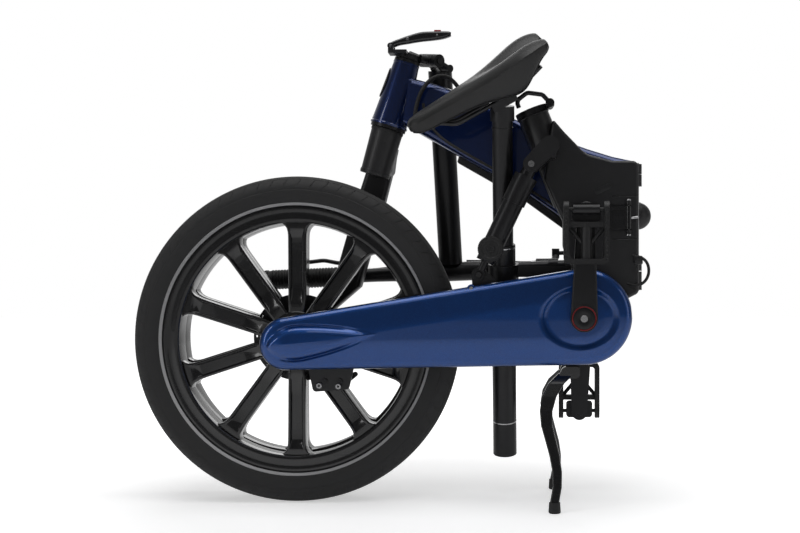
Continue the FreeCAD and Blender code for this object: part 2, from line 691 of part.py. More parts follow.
def make_chaincase():
    """Blue cover and black inner casting of the one-sided chaincase swingarm."""
    front, back, split = SIZE["case_front_y"], SIZE["case_back_y"], SIZE["case_split_y"]
    wall = SIZE["case_wall"]
    cx, cz = CRANK.x, CRANK.z
    cover = case_block(0, front, split)
    rim_edges = [e for e in cover.Edges if abs(e.CenterOfMass.y - front) < 0.01]
    cover = cover.makeFillet(9.0, rim_edges)
    dish = pin_y(cx, cz, SIZE["dish_radius"], front - 1, front + SIZE["dish_depth"])
    cavity = case_block(wall + 2, front + wall + SIZE["dish_depth"], split + 1)
    hole = pin_y(cx, cz, SIZE["case_hole_radius"], front - 5, split + 5)
    blade = taper_link(-28, 270, 2, -168, 257, 29, front - SIZE["blade_height"], front + 1)
    outer = [e for e in blade.Edges if abs(e.CenterOfMass.y - front + SIZE["blade_height"]) < 0.01]
    cover = cover.fuse(blade.makeChamfer(1.5, outer)).cut(dish).cut(cavity).cut(hole)
    feature("chaincase_cover", cover.removeSplitter())
    inner = case_block(0, split, back)
    groove = case_block(wall + 2, split - 1, back - 3)
    hole = pin_y(cx, cz, SIZE["shell_radius"] + 2, split - 5, back + 5)
    foot_x, foot_z = SIZE["strut_foot_x"], SIZE["strut_foot_z"]
    lug = taper_link(foot_x, foot_z, 12, foot_x + 14, 330, 24, split, back)
    pin = pin_y(foot_x, foot_z, 4.5, SIZE["strut_y"] - 9, back)
    ax, az = REAR_AXLE.x, REAR_AXLE.z
    tab = prism_y([(ax + 21, az - 34, 4), (ax + 97, az - 34, 4), (ax + 87, az - 78, 6),
                   (ax + 31, az - 82, 6)], back - 5, back)
    inner = inner.cut(groove).multiFuse([lug, pin, tab]).cut(hole).removeSplitter()
    inner = inner.cut(pin_y(ax, az, SIZE["axle_radius"], split - 5, back + 5))
    feature("chaincase_inner", inner)
    make_axle("rear_axle", REAR_AXLE, SIZE["chain_plane_y"] - 4, 23)
    feature("rear_caliper", brake_caliper(REAR_AXLE.x + 40, back))


def brake_caliper(x, back):
    """Disc caliper: rounded body astride the disc, cable arm and two mounting bolt heads."""
    z = REAR_AXLE.z
    body = prism_y([(x, z - 77, 6), (x + 30, z - 81, 10), (x + 45, z - 67, 8),
                    (x + 42, z - 52, 5), (x + 4, z - 52, 5)], back, -13)
    body = body.cut(box(x - 10, x + 60, -28.4, -22.4, z - 75, z - 39))
    arm = taper_link(x + 33, z - 69, 7, x + 54, z - 56, 4, -18, -13.5)
    bolts = [pin_y(x + reach, z - 65, 4.2, back - 8, back - 5) for reach in (9, 33)]
    return Part.makeCompound([body.fuse(arm).removeSplitter()] + bolts)


def make_axle(name, axle, y_from, y_to):
    """Cantilever axle that carries one wheel."""
    shaft = pin_y(axle.x, axle.z, SIZE["axle_radius"], axle.y + y_from, axle.y + y_to)
    return feature(name, shaft)


def make_transmission():
    """Chainring, rear sprocket and the two straight runs of the chain."""
    y = SIZE["chain_plane_y"]
    ring_radius = SIZE["chainring_radius"]
    gear = pin_y(CRANK.x, CRANK.z, ring_radius, y - 1.5, y + 1.5)
    gear = gear.cut(pin_y(CRANK.x, CRANK.z, SIZE["spindle_radius"], y - 5, y + 5))
    windows = [pin_y(*polar(CRANK.x, CRANK.z, 38, a), 9, y - 5, y + 5) for a in range(0, 360, 72)]
    for window in windows:
        gear = gear.cut(window)
    feature("chainring", gear)
    small = pin_y(REAR_AXLE.x, REAR_AXLE.z, SIZE["sprocket_radius"], y - 1.5, y + 1.5)
    small = small.fuse(pin_y(REAR_AXLE.x, REAR_AXLE.z, 13, y + 1.5, SIZE["case_split_y"] - 0.4))
    bore = SIZE["axle_radius"] + SIZE["running_gap"]
    small = small.cut(pin_y(REAR_AXLE.x, REAR_AXLE.z, bore, y - 5, y + 30))
    feature("rear_sprocket", small)
    reach = CRANK - REAR_AXLE
    reach.y = 0
    heading = reach.normalize()
    across = vec(-heading.z, 0, heading.x)
    runs = []
    for sign in (1, -1):
        start = REAR_AXLE + across * sign * (SIZE["sprocket_radius"] + 3.8)
        end = CRANK + across * sign * (ring_radius + 3.8)
        run = rod(start + vec(0, y, 0), end + vec(0, y, 0), SIZE["chain_width"] / 2)
        runs.append(run)
    feature("chain", Part.makeCompound(runs))


# ---------------------------------------------------------------- cranks and pedals
def crank_end(sign):
    """Centre of the pedal eye of the right (1) or left (-1) crank arm."""
    lean = math.radians(SIZE["crank_lean"])
    reach = SIZE["crank_length"] * sign
    return CRANK.x + reach * math.sin(lean), CRANK.z + reach * math.cos(lean)


def to_left(shape):
    """Turn a drive side piece into its left twin, half a turn round the crank."""
    twin = shape.mirror(vec(0, 0, 0), vec(0, 1, 0))
    twin.rotate(CRANK, vec(0, 1, 0), 180)
    return twin


def make_crankset():
    """Spindle with end bolts and two tapered crank arms."""
    inner = SIZE["crank_inner_y"]
    outer = inner + SIZE["crank_thickness"]
    ex, ez = crank_end(1)
    spindle = pin_y(CRANK.x, CRANK.z, SIZE["spindle_radius"], -inner - 6, inner + 6)
    bolts = [pin_y(CRANK.x, CRANK.z, 9, s * (inner + 4), s * (outer + 1.5)) for s in (1, -1)]
    feature("crank_spindle", spindle.multiFuse(bolts).removeSplitter())
    arm = taper_link(CRANK.x, CRANK.z, SIZE["crank_boss_radius"], ex, ez,
                     SIZE["crank_eye_radius"], -outer, -inner)
    sharp = [e for e in arm.Edges if abs(e.CenterOfMass.y + outer) < 0.01]
    arm = arm.makeFillet(3.0, sharp)
    boss = pin_y(CRANK.x, CRANK.z, 19, -inner, SIZE["case_front_y"] + 6)
    arm = arm.fuse(boss)
    arm = arm.cut(pin_y(CRANK.x, CRANK.z, SIZE["spindle_radius"], -inner - 6, 0))
    arm = arm.cut(pin_y(CRANK.x, CRANK.z, 9, -outer - 5, -inner))
    arm = arm.cut(pin_y(ex, ez, 6, -outer - 5, -inner + 5))
    feature("crank_arm_right", arm)
    feature("crank_arm_left", to_left(arm))


def pedal_pieces():
    """Knuckle and folding platform of the right pedal, folded against the arm."""
    ex, ez = crank_end(1)
    face = -SIZE["crank_inner_y"] - SIZE["crank_thickness"]
    mid = face - 2 - SIZE["pedal_thickness"] / 2
    half_w, half_t = SIZE["pedal_width"] / 2, SIZE["pedal_thickness"] / 2
    plate = prism_y([(ex - 22, ez - 18, 5), (ex + 22, ez - 18, 5), (ex + 22, ez + 10, 6),
                     (ex - 22, ez + 10, 6)], mid + 8.5, face - 0.8)
    stub = pin_y(ex, ez, 6 - SIZE["running_gap"], face - 2, -SIZE["crank_inner_y"] - 1)
    boss = pin_y(ex, ez, 9, mid + 5, face - 1)
    barrel = rod(vec(ex - 20, mid, ez), vec(ex + 20, mid, ez), 7.5)
    web = box(ex - 20, ex + 20, mid, mid + 9, ez - 5, ez + 5)
    knuckle = plate.multiFuse([stub, boss, barrel, web]).removeSplitter()
    pin = rod(vec(ex - half_w + 1, mid, ez), vec(ex + half_w - 1, mid, ez), 3)
    knuckle = knuckle.cut(rod(vec(ex - 40, mid, ez), vec(ex + 40, mid, ez), 3.05))
    bar = SIZE["pedal_bar"]
    low = ez + half_t - SIZE["pedal_length"]
    frame = prism_y([(ex - half_w, low, 10), (ex + half_w, low, 10), (ex + half_w, ez, 0),
                     (ex - half_w, ez, 0)], mid - half_t, mid + half_t)
    window = prism_y([(ex - half_w + bar, low + bar, 6), (ex + half_w - bar, low + bar, 6),
                      (ex + half_w - bar, ez + 20, 0), (ex - half_w + bar, ez + 20, 0)],
                     mid - half_t - 1, mid + half_t + 1)
    frame = frame.cut(window)
    ears = []
    for side in (-1, 1):
        edge = ex + side * half_w
        ears.append(rod(vec(edge, mid, ez), vec(edge - side * bar, mid, ez), half_t))
    cross = box(ex - half_w + 2, ex + half_w - 2, mid - 8, mid + 8, ez - 27, ez - 19)
    core = rod(vec(ex, mid, low + 3), vec(ex, mid, ez - 20), 8.5)
    braces = []
    for side in (-1, 1):
        start = vec(ex, mid, low + 24)
        end = vec(ex + side * (half_w - bar / 2), mid, low + 60)
        braces.append(rod(start, end, 3.2))
    platform = frame.multiFuse(ears + [cross, core] + braces + [pin]).removeSplitter()
    return knuckle, platform


def make_pedals():
    """Right pedal and its left twin."""
    knuckle, platform = pedal_pieces()
    feature("pedal_knuckle_right", knuckle)
    feature("pedal_right", platform)
    feature("pedal_knuckle_left", to_left(knuckle))
    feature("pedal_left", to_left(platform))


# ---------------------------------------------------------------- kickstand
def make_kickstand():
    """Two curved legs on one pivot block, with rubber feet."""
    px, pz = SIZE["stand_pivot_x"], SIZE["stand_pivot_z"]
    spread = SIZE["stand_spread"]
    stations = [(px - 14, 34, pz - 6, 13), (250, 43, 191, 12.6), (239, 52, 172, 11.5),
                (234, 61, 150, 10), (235, 68, 128, 9), (241, 76, 106, 8.4), (247, 84, 84, 8),
                (251, 91, 60, 7.4), (251, 98, 38, 7), (247, 0.95 * spread, 17, 7)]
    legs = []
    for side in (-1, 1):
        wires = []
        for x, y, z, radius in stations:
            profile = [(-radius, -6, 2.5), (radius, -6, 2.5), (radius, 6, 2.5),
                       (-radius, 6, 2.5)]
            wires.append(rounded_wire(
                profile, lambda p, x=x, y=y, z=z: vec(x + p.x, side * y + p.y, z)))
        legs.append(Part.makeLoft(wires, True, True))
    block = prism_y([(px - 28, pz - 14, 6), (px + 7, pz - 14, 8), (px + 7, pz + 5, 6),
                     (px - 20, pz + 5, 10)], -42, 42)
    block = block.cut(box(px - 40, px + 40, -22.6, 22.6, pz - 12.5, pz + 30))
    pin = pin_y(px, pz, 5, -42, 42)
    body = block.multiFuse(legs + [pin])
    feature("kickstand_legs", body.removeSplitter())
    feet = []
    for side in (-1, 1):
        y = side * 0.95 * spread
        top = Part.makeCone(9.5, 8.5, 16.6, vec(247, y, 0), vec(0, 0, 1))
        feet.append(top.makeChamfer(1.5, edges_at(top, lambda p: p.z < 0.01)))
    feature("kickstand_feet", Part.makeCompound(feet))


# ---------------------------------------------------------------- shock strut
def make_shock():
    """Strut between the seat tube and the chaincase, with its round adjuster."""
    y = SIZE["strut_y"]
    top = vec(SIZE["strut_top_x"], y, SIZE["strut_top_z"])
    foot = vec(SIZE["strut_foot_x"], y, SIZE["strut_foot_z"])
    axis = (foot - top).normalize()
    eye = ring(top - vec(0, 13, 0), top + vec(0, 13, 0), 12, 5 + SIZE["running_gap"])
    start = top + axis * 20
    knob_at = SIZE["strut_knob_at"]
    sleeve = rod(start, top + axis * (knob_at - 10), SIZE["strut_radius"])
    upper = rod(start, start + axis * 46, SIZE["strut_radius"] + 2)
    neck = rod(top + axis * 8, start + axis * 2, 11)
    barrel = rod(top + axis * (knob_at - 12), top + axis * (knob_at + 20), 15)
    bolt_hole = pin_y(top.x, top.z, 5 + SIZE["running_gap"], y - 20, y + 20)
    chamber = rod(top + axis * 70, top + axis * (knob_at + 30), SIZE["strut_rod_radius"] + 0.05)
    body = eye.multiFuse([sleeve, upper, neck, barrel]).removeSplitter()
    feature("shock_body", body.cut(chamber).cut(bolt_hole))
    centre = top + axis * (knob_at - 2)
    knob = ring(centre + vec(0, -19, 0), centre + vec(0, -16.2, 0), SIZE["strut_knob_radius"], 6)
    stem = pin_y(centre.x, centre.z, 6, y - 19, y - 12)
    feature("shock_knob", knob.fuse(stem).cut(body))
    shaft = rod(top + axis * 84, foot - axis * 8, SIZE["strut_rod_radius"])
    lower_eye = ring(foot - vec(0, 4, 0), foot + vec(0, 4, 0), 9, 5.2)
    shaft = shaft.fuse(lower_eye).cut(pin_y(foot.x, foot.z, 5.2, y - 20, y + 20))
    feature("shock_rod", shaft)


# ---------------------------------------------------------------- seat post and saddle
def post_at(distance):
    """Point on the post's axis, measured up from its lower end."""
    return post_point(SIZE["post_bottom_z"]) + post_axis() * distance


def saddle_frame():
    """Placement of the saddle's own frame: origin under the nose, X to the tail."""
    tilt = FreeCAD.Rotation(vec(0, 1, 0), -SIZE["saddle_tilt"])
    turn = FreeCAD.Rotation(vec(0, 0, 1), SIZE["saddle_turn"])
    lean = FreeCAD.Rotation(vec(1, 0, 0), SIZE["post_lean"])
    rotation = lean.multiply(turn).multiply(tilt)
    clamp = post_at(SIZE["post_length"] + 18)
    return FreeCAD.Placement(clamp - rotation.multVec(vec(150, 0, 0)), rotation)


def make_seat():
    """Two-part post, clamp head, rails and the padded saddle."""
    step, length = SIZE["post_step"], SIZE["post_length"]
    lower = rod(post_at(0), post_at(step), SIZE["post_lower_radius"])
    upper = rod(post_at(step + 0.0), post_at(length), SIZE["post_upper_radius"])
    lower = lower.makeFillet(1.5, [lower.Edges[0]])
    feature("seatpost_lower", lower)
    feature("seatpost_upper", upper)
    place = saddle_frame()
    head = ring(post_at(length - 14), post_at(length + 4), SIZE["post_upper_radius"] + 3,
                SIZE["post_upper_radius"] + 0.3)
    cap = rod(post_at(length + 0.4), post_at(length + 9), SIZE["post_upper_radius"] + 3)
    jaw = box(130, 172, -26, 26, -8, 5)
    jaw.Placement = place
    rails = saddle_rails()
    rail_shape = rails.copy()
    head = head.multiFuse([cap, jaw])
    grooves = rail_grooves(3.55)
    grooves.Placement = place
    head = head.cut(grooves)
    feature("seat_clamp_head", head.removeSplitter())
    rail_shape.Placement = place
    feature("saddle_rails", rail_shape)
    pad = saddle_pad().cut(rail_grooves(3.8))
    pad.Placement = place
    feature("saddle", pad)


def rail_points(side, lift):
    """Route of one saddle rail in the saddle's own frame."""
    return [vec(34, side * 8, 26 + lift), vec(70, side * 20, 4 + lift),
            vec(176, side * 22, 4 + lift), vec(226, side * 36, 22 + lift)]


def saddle_rails():
    """Two bent steel rails."""
    return Part.makeCompound([pipe(rail_points(side, 0), 30, 3.5) for side in (-1, 1)])


def rail_grooves(radius):
    """Cutter that leaves room round both rails."""
    return Part.makeCompound([pipe(rail_points(side, 0), 30, radius) for side in (-1, 1)])


def saddle_pad():
    """Saddle body as a loft from the narrow nose to the winged tail."""
    length = SIZE["saddle_length"]
    half = SIZE["saddle_width"] / 2
    nose = SIZE["saddle_nose_width"] / 2
    depth = SIZE["saddle_depth"]
    stations = [(2, nose * 0.55, 36, 12, 6), (8, nose * 0.8, 42, depth - 12, 8),
                (18, nose * 0.95, 45, depth - 4, 9), (44, nose * 1.1, 47.5, depth, 10),
                (70, nose * 1.25, 49, depth, 10), (100, half * 0.46, 49.4, depth, 10),
                (130, half * 0.58, 50, depth, 10), (160, half * 0.74, 51.6, depth, 10),
                (190, half * 0.9, 54, depth - 2, 11), (215, half * 0.98, 56, depth - 5, 11),
                (237, half, 57, depth - 9, 10), (252, half * 0.96, 57, depth - 14, 8),
                (length - 2, half * 0.86, 55.5, 11, 5)]
    wires = []
    for x, wide, top, deep, corner in stations:
        section = [(-wide, top - deep, corner * 0.5), (wide, top - deep, corner * 0.5),
                   (wide * 0.92, top, corner * 0.9), (-wide * 0.92, top, corner * 0.9)]
        wires.append(rounded_wire(section, lambda p, x=x: vec(x, p.x, p.y)))
    return Part.makeLoft(wires, True, True)


# ---------------------------------------------------------------- front frame half
def steering_axis():
    """Unit vector up the steering axis."""
    lean = math.radians(SIZE["head_angle"])
    return vec(math.sin(lean), 0, math.cos(lean))


def head_point(distance):
    """Point on the steering axis, measured up from the head tube's middle."""
    middle = vec(SIZE["head_point_x"], Y_FRONT, SIZE["head_point_z"])
    return middle + steering_axis() * distance


def battery_axis():
    """Unit vector along the battery, pointing out of the mating face."""
    pitch = math.radians(SIZE["battery_pitch"])
    return vec(math.cos(pitch), 0, -math.sin(pitch))


def front_tube():
    """Tapering box tube of the front half, without its openings."""
    face = SIZE["mating_face_x"] - SIZE["mating_gap"]
    half = SIZE["tube_half_width"]
    stations = [(face, 358, 546, half), (342, 391, 554, half), (300, 422, 567, half),
                (250, 459, 585, half - 0.8), (200, 494, 607, half - 1.5),
                (150, 522, 632, half - 2.6), (100, 549, 656, half - 4),
                (56, 575, 672, half - 6), (12, 600, 684, half - 8)]
    wires = []
    for x, low, high, wide in stations:
        section = [(Y_FRONT - wide, low, 12), (Y_FRONT + wide, low, 12),
                   (Y_FRONT + wide, high, 14), (Y_FRONT - wide, high, 14)]
        wires.append(rounded_wire(section, lambda p, x=x: vec(x, p.x, p.y)))
    return Part.makeLoft(wires, True, True)


def make_front_frame():
    """Main tube with its head tube, battery bay and hinge barrels."""
    face = SIZE["mating_face_x"] - SIZE["mating_gap"]
    half = SIZE["tube_half_width"]
    tube = front_tube()
    reach = SIZE["head_half_length"]
    head = Part.makeCone(SIZE["head_bottom_radius"], SIZE["head_top_radius"], 2 * reach,
                         head_point(-reach), steering_axis())
    neck_sections = []
    for x, low, high, wide in ((14, 600, 683, half - 8.5), (-12, 612, 690, 16)):
        section = [(Y_FRONT - wide, low, 8), (Y_FRONT + wide, low, 8),
                   (Y_FRONT + wide, high, 8), (Y_FRONT - wide, high, 8)]
        neck_sections.append(rounded_wire(section, lambda p, x=x: vec(x, p.x, p.y)))
    neck = Part.makeLoft(neck_sections, True, False)
    body = tube.multiFuse([head, neck])
    bore = rod(head_point(-reach - 5), head_point(reach + 5), SIZE["steerer_radius"] + 4)
    body = body.cut(bore)
    mouth = vec(face, Y_FRONT, SIZE["battery_z"])
    bay = rod(mouth + battery_axis() * 20, mouth - battery_axis() * (SIZE["battery_length"] + 3),
              SIZE["battery_radius"] + 0.5)
    body = body.cut(bay)
    pocket = prism_y([(face - 30, 392, 8), (face + 5, 380, 0), (face + 5, 524, 0),
                      (face - 30, 530, 8)], Y_FRONT - half + 4, Y_FRONT + half - 4)
    body = body.cut(pocket)
    swept = rod(vec(face, HINGE_Y, 330), vec(face, HINGE_Y, 548),
                SIZE["hinge_knuckle_radius"] + 0.6)
    body = body.cut(swept).removeSplitter()
    feature("front_frame", body)
    feature("front_hinge_lugs", Part.makeCompound(hinge_lugs(FRONT_BARRELS, 1, 6)).cut(body))


def make_front_small_parts():
    """Headset cups, lower trim strip and the battery."""
    reach = SIZE["head_half_length"]
    cups = []
    for low, high, outer in ((-reach - 5, -reach, SIZE["head_bottom_radius"] - 1),
                             (reach, reach + 5, SIZE["head_top_radius"])):
        cups.append(ring(head_point(low), head_point(high), outer,
                         SIZE["steerer_radius"] + SIZE["running_gap"]))
    feature("headset_cups", Part.makeCompound(cups))
    strip = prism_y([(92, 560, 0), (200, 504, 0), (300, 432, 0), (352, 394, 0), (346, 371, 2),
                     (262, 436, 30), (200, 481, 30), (88, 545, 2)], Y_FRONT - 12, Y_FRONT + 12)
    tube = front_tube()
    lowered = tube.translated(vec(0, 0, -SIZE["fit_gap"]))
    feature("lower_trim", strip.cut(tube).cut(lowered))
    mouth = vec(SIZE["mating_face_x"], Y_FRONT, SIZE["battery_z"])
    out = battery_axis()
    radius = SIZE["battery_radius"]
    cell = rod(mouth - out * SIZE["battery_length"], mouth + out * 4, radius)
    dome = Part.makeSphere(radius, mouth + out * 4)
    feature("battery", cell.fuse(dome))


def make_head_hose():
    """Sleeved cables that loop from the head tube back into the main tube."""
    points = [vec(19, 31, 594), vec(24, 27, 635), vec(40, 27, 671), vec(70, 40, 690),
              vec(98, 60, 652)]
    hose = pipe(points, 14, 3.5)
    feature("head_hose", hose.cut(front_tube()))


def make_fork():
    """Crown, single leg and axle carrier of the one-sided front fork."""
    steerer = rod(head_point(-SIZE["head_half_length"] - 8), head_point(SIZE["head_half_length"] + 14),
                  SIZE["steerer_radius"])
    low = -SIZE["head_half_length"] - 6
    crown = Part.makeCone(24, 26, 78, head_point(low - 78), steering_axis())
    leg_y = SIZE["fork_leg_y"]
    wide, thick = SIZE["fork_leg_width"] / 2, SIZE["fork_leg_thickness"] / 2
    stations = [(head_point(low - 30), 20, 14), (head_point(low - 70), wide - 1.5, thick - 1),
                (head_point(low - 120), wide, thick), (head_point(low - 200), wide, thick),
                (head_point(low - 270), wide, thick),
                (FRONT_AXLE + vec(4, 0, 20), wide - 4, thick - 3),
                (FRONT_AXLE + vec(0, 0, -24), wide - 6, thick - 6)]
    wires = []
    for point, half_w, half_t in stations:
        section = [(-half_w, -half_t, 8), (half_w, -half_t, 8), (half_w, half_t, 8),
                   (-half_w, half_t, 8)]
        wires.append(rounded_wire(
            section, lambda p, o=point: vec(o.x + p.x, leg_y + p.y, o.z)))
    leg = Part.makeLoft(wires, True, True)
    bridge = prism_y([(-62, 522, 12), (-22, 524, 12), (-14, 588, 12), (-58, 588, 12)], Y_FRONT + 5, leg_y)
    fork = crown.multiFuse([leg, bridge, steerer])
    fork = fork.cut(pin_y(FRONT_AXLE.x, FRONT_AXLE.z, SIZE["axle_radius"], 80, 150))
    feature("fork", fork.removeSplitter())
    make_axle("front_axle", FRONT_AXLE, -22, leg_y - Y_FRONT + 8)


# ---------------------------------------------------------------- stem and handlebar
BAR_DIRECTION = vec(0.999, 0, 0.0454).normalize()


def stem_direction():
    """Unit vector down the folded stem, square to the handlebar."""
    rough = vec(0.045, 0.13, -0.9905)
    return (rough - BAR_DIRECTION * rough.dot(BAR_DIRECTION)).normalize()


STEM_REFERENCE = vec(60.5, 128.0, 573.0)
STEM_PIN = vec(42.06, 73.97, 715.0)
STEM_PIN_AXIS = vec(0.70443, -0.69782, -0.12972)


def make_stem():
    """Hinge block on the steerer, folding stem, handlebar, grips and clamps."""
    top = head_point(SIZE["head_half_length"] + 6)
    cap = rod(top, top + steering_axis() * 9, 20)
    axis = STEM_PIN_AXIS
    toward = top + steering_axis() * 3 - STEM_PIN
    elbow = STEM_PIN + (toward - axis * toward.dot(axis)).normalize() * 24
    pin = rod(STEM_PIN - axis * 25, STEM_PIN + axis * 25, 5)
    barrel = rod(STEM_PIN - axis * 12, STEM_PIN + axis * 12, 11)
    bridge = [rod(elbow, STEM_PIN, 7.5), rod(top + steering_axis() * 8.4, elbow, 6.6)]
    block = cap.multiFuse([barrel, pin] + bridge + latch_ears())
    block = block.cut(rod(head_point(0), top + steering_axis() * 8, SIZE["steerer_radius"]))
    reach = SIZE["head_half_length"] + 5
    block = block.cut(rod(head_point(0), head_point(reach + 0.4), SIZE["head_top_radius"] + 1))
    feature("stem_hinge_block", block.removeSplitter())
    down = stem_direction()
    start = STEM_REFERENCE - down * 132
    end = STEM_REFERENCE + down * 196
    tube = rod(start, end, SIZE["stem_radius"])
    reach = start - STEM_PIN
    outward = (reach - axis * reach.dot(axis)).normalize() * 27
    yoke = STEM_PIN + outward
    parts = [rod(yoke - axis * 22.4, yoke + axis * 22.4, 6.4),
             rod(yoke - outward * 0.1, start + down * 12, 8.2)]
    for side in (-1, 1):
        near, far = STEM_PIN + axis * side * 13, STEM_PIN + axis * side * 23
        middle = STEM_PIN + axis * side * 18
        parts += [rod(near, far, 11), rod(middle, middle + outward, 4.6)]
    stem = tube.multiFuse(parts).cut(rod(STEM_PIN - axis * 40, STEM_PIN + axis * 40, 5.05))
    feature("stem", stem.removeSplitter())
    centre = end + down * 14
    half = SIZE["bar_length"] / 2
    left, right = centre - BAR_DIRECTION * half, centre + BAR_DIRECTION * half
    bar = rod(left, right, SIZE["bar_radius"])
    middle = rod(centre - BAR_DIRECTION * 60, centre + BAR_DIRECTION * 60, 15.5)
    bar = bar.fuse(middle).cut(tube)
    feature("handlebar", bar)
    grip_length = SIZE["grip_length"]
    grips = [ring(left - BAR_DIRECTION * 4, left + BAR_DIRECTION * grip_length,
                  SIZE["grip_radius"], SIZE["bar_radius"] + 0.3),
             ring(right - BAR_DIRECTION * grip_length, right + BAR_DIRECTION * 4,
                  SIZE["grip_radius"], SIZE["bar_radius"] + 0.3)]
    feature("grips", Part.makeCompound(grips))
    make_brake_levers(centre, half)
    make_stem_latch()


def make_brake_levers(centre, half):
    """Brake clamps on the bar and their pivoting levers."""
    clamps = []
    for name, side in (("brake_lever_left", -1), ("brake_lever_right", 1)):
        at = centre + BAR_DIRECTION * side * (half - SIZE["grip_length"] - 20)
        along = BAR_DIRECTION * side
        collar = ring(at - BAR_DIRECTION * 8, at + BAR_DIRECTION * 8, 15.5,
                      SIZE["bar_radius"] + 0.3)
        pivot = at + vec(0, 32, 24) + along * 4
        body = rod(at + vec(0, 11, 8), pivot - vec(0, 9, 7), 6)
        body = body.cut(rod(at - BAR_DIRECTION * 9, at + BAR_DIRECTION * 9, 12))
        lugs = box(pivot.x - 6.5, pivot.x + 6.5, pivot.y - 10, pivot.y, pivot.z - 8, pivot.z + 8)
        lugs = lugs.fuse(rod(pivot - vec(0, 0, 8), pivot + vec(0, 0, 8), 6.5))
        space = box(pivot.x - 9, pivot.x + 9, pivot.y - 6.4, pivot.y + 9, pivot.z - 4.3,
                    pivot.z + 4.3)
        pin = rod(pivot - vec(0, 0, 8), pivot + vec(0, 0, 8), 2.5)
        clamps.append(collar.multiFuse([body, lugs.cut(space), pin]).removeSplitter())
        points = [pivot, pivot + along * 20, pivot + along * 46 + vec(0, 6, 6),
                  pivot + along * 96 + vec(0, 4, 2)]
        lever = pipe(points, 30, 3.6).fuse(rod(pivot - vec(0, 0, 4), pivot + vec(0, 0, 4), 5.5))
        bore = rod(pivot - vec(0, 0, 9), pivot + vec(0, 0, 9), 2.5 + SIZE["running_gap"])
        feature(name, lever.cut(bore).removeSplitter())
    feature("brake_clamps", Part.makeCompound(clamps))


def latch_ears():
    """Two ears on the hinge block that carry the stem latch."""
    x, y, z = STEM_LATCH_PIN.x, STEM_LATCH_PIN.y, STEM_LATCH_PIN.z
    made = [box(x - 4, x + 26, y - 12, y + 20, z - 11.5, z - 6)]
    for low, high in ((y - 12, y - 7.4), (y + 7.4, y + 12)):
        ear = pin_y(x, z, 5, low, high).fuse(box(x - 4, x + 5, low, high, z - 8.5, z))
        made.append(ear.cut(pin_y(x, z, 2.55, low - 1, high + 1)))
    return made


def make_stem_latch():
    """Over-centre lever above the stem hinge, with its safety catch."""
    x, y, z = STEM_LATCH_PIN.x, STEM_LATCH_PIN.y, STEM_LATCH_PIN.z
    low, high = y - 7, y + 7
    lever = prism_y([(x - 4, z - 2, 1), (x - 3, z + 7, 6), (8, 748, 20), (46, 755, 20),
                     (78, 756, 5), (80, 747, 4), (60, 741, 14), (20, 737, 10), (-6, 734, 10),
                     (x + 4, z - 2, 1)], low, high)
    boss = pin_y(x, z, 5, low, high)
    pin = pin_y(x, z, 2.5, y - 12.4, y + 12.4)
    pocket = box(51.6, 63.4, low + 3.6, high - 3.6, 748, 760)
    feature("stem_latch_lever", lever.multiFuse([boss, pin]).cut(pocket).removeSplitter())
    catch = box(52, 63, low + 4, high - 4, 751.5, 758)
    feature("stem_latch_catch", catch)


# ---------------------------------------------------------------- levers on the frame
def make_frame_latch():
    """Flush lever that pulls the two frame halves together."""
    y = -SIZE["casting_half_width"]
    lever = prism_y([(333, 433, 4), (362, 433, 3), (362, 469, 3), (333, 469, 4)], y - 4, y + 1.6)
    slots = [box(337, 356, y - 6, y - 2, z, z + 9) for z in (439, 454)]
    for slot in slots:
        lever = lever.cut(slot)
    barrel = rod(vec(LATCH_PIN.x, LATCH_PIN.y, 433), vec(LATCH_PIN.x, LATCH_PIN.y, 469), 4.5)
    pin = rod(vec(LATCH_PIN.x, LATCH_PIN.y, 425), vec(LATCH_PIN.x, LATCH_PIN.y, 477), 2)
    feature("frame_latch_lever", lever.multiFuse([barrel, pin]).removeSplitter())


def make_seat_lever():
    """Curved quick release lever of the seat clamp, standing open."""
    mouth = vec(SIZE["seat_mouth_x"], 0, SIZE["seat_mouth_z"])
    axis = seat_axis()
    across = vec(axis.z, 0, -axis.x)
    at = mouth + axis * 4.5 + across * (SIZE["seat_tube_radius"] + 6)
    at.y = -31
    points = [at, at + vec(-12, 0, 13), at + vec(-36, 0, 16), at + vec(-53, 0, 3),
              at + vec(-49, 0, -8)]
    hook = pipe(points, 9, 3.6)
    boss = pin_y(at.x, at.z, 7, -34.8, -12.4)
    lever = hook.fuse(boss).cut(pin_y(at.x, at.z, 2.5 + SIZE["running_gap"], -40, 0))
    feature("seat_clamp_lever", lever.removeSplitter())


# ---------------------------------------------------------------- build and write
def build():
    """Make every sub-part."""
    make_main_frame()
    make_rear_small_parts()
    make_chaincase()
    make_transmission()
    make_wheel("rear", REAR_AXLE, -1)
    make_crankset()
    make_pedals()
    make_kickstand()
    make_shock()
    make_seat()
    make_front_frame()
    make_front_small_parts()
    make_head_hose()
    make_fork()
    make_wheel("front", FRONT_AXLE, 1)
    make_stem()
    make_frame_latch()
    make_seat_lever()
    DOC.recompute()


def write():
    """Check the document and write one STEP file for each node."""
    for obj in DOC.Objects:
        if "Invalid" in obj.State or "Error" in obj.State:
            raise RuntimeError("%s failed: %s" % (obj.Name, obj.State))
    for node in NODES:
        if node.Shape.isNull() or not node.Shape.isValid():
            raise RuntimeError("%s has no valid shape" % node.Label)
    for node in NODES:
        node.Shape.exportStep("parts/%s.step" % node.Label)
    print("wrote %d nodes" % len(NODES))


build()
write()
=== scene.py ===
"""Looks of the folded bicycle: finishes, fittings, soft parts and the studio round it.

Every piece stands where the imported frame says. Sizes in the classes are millimetres,
measured from the rear wheel's mid plane and the floor, and `spot` turns them into metres.
"""

import json
import logging
import math
from dataclasses import dataclass, field
from enum import Enum
from typing import Sequence

import bmesh
import bpy
from mathutils import Matrix, Vector

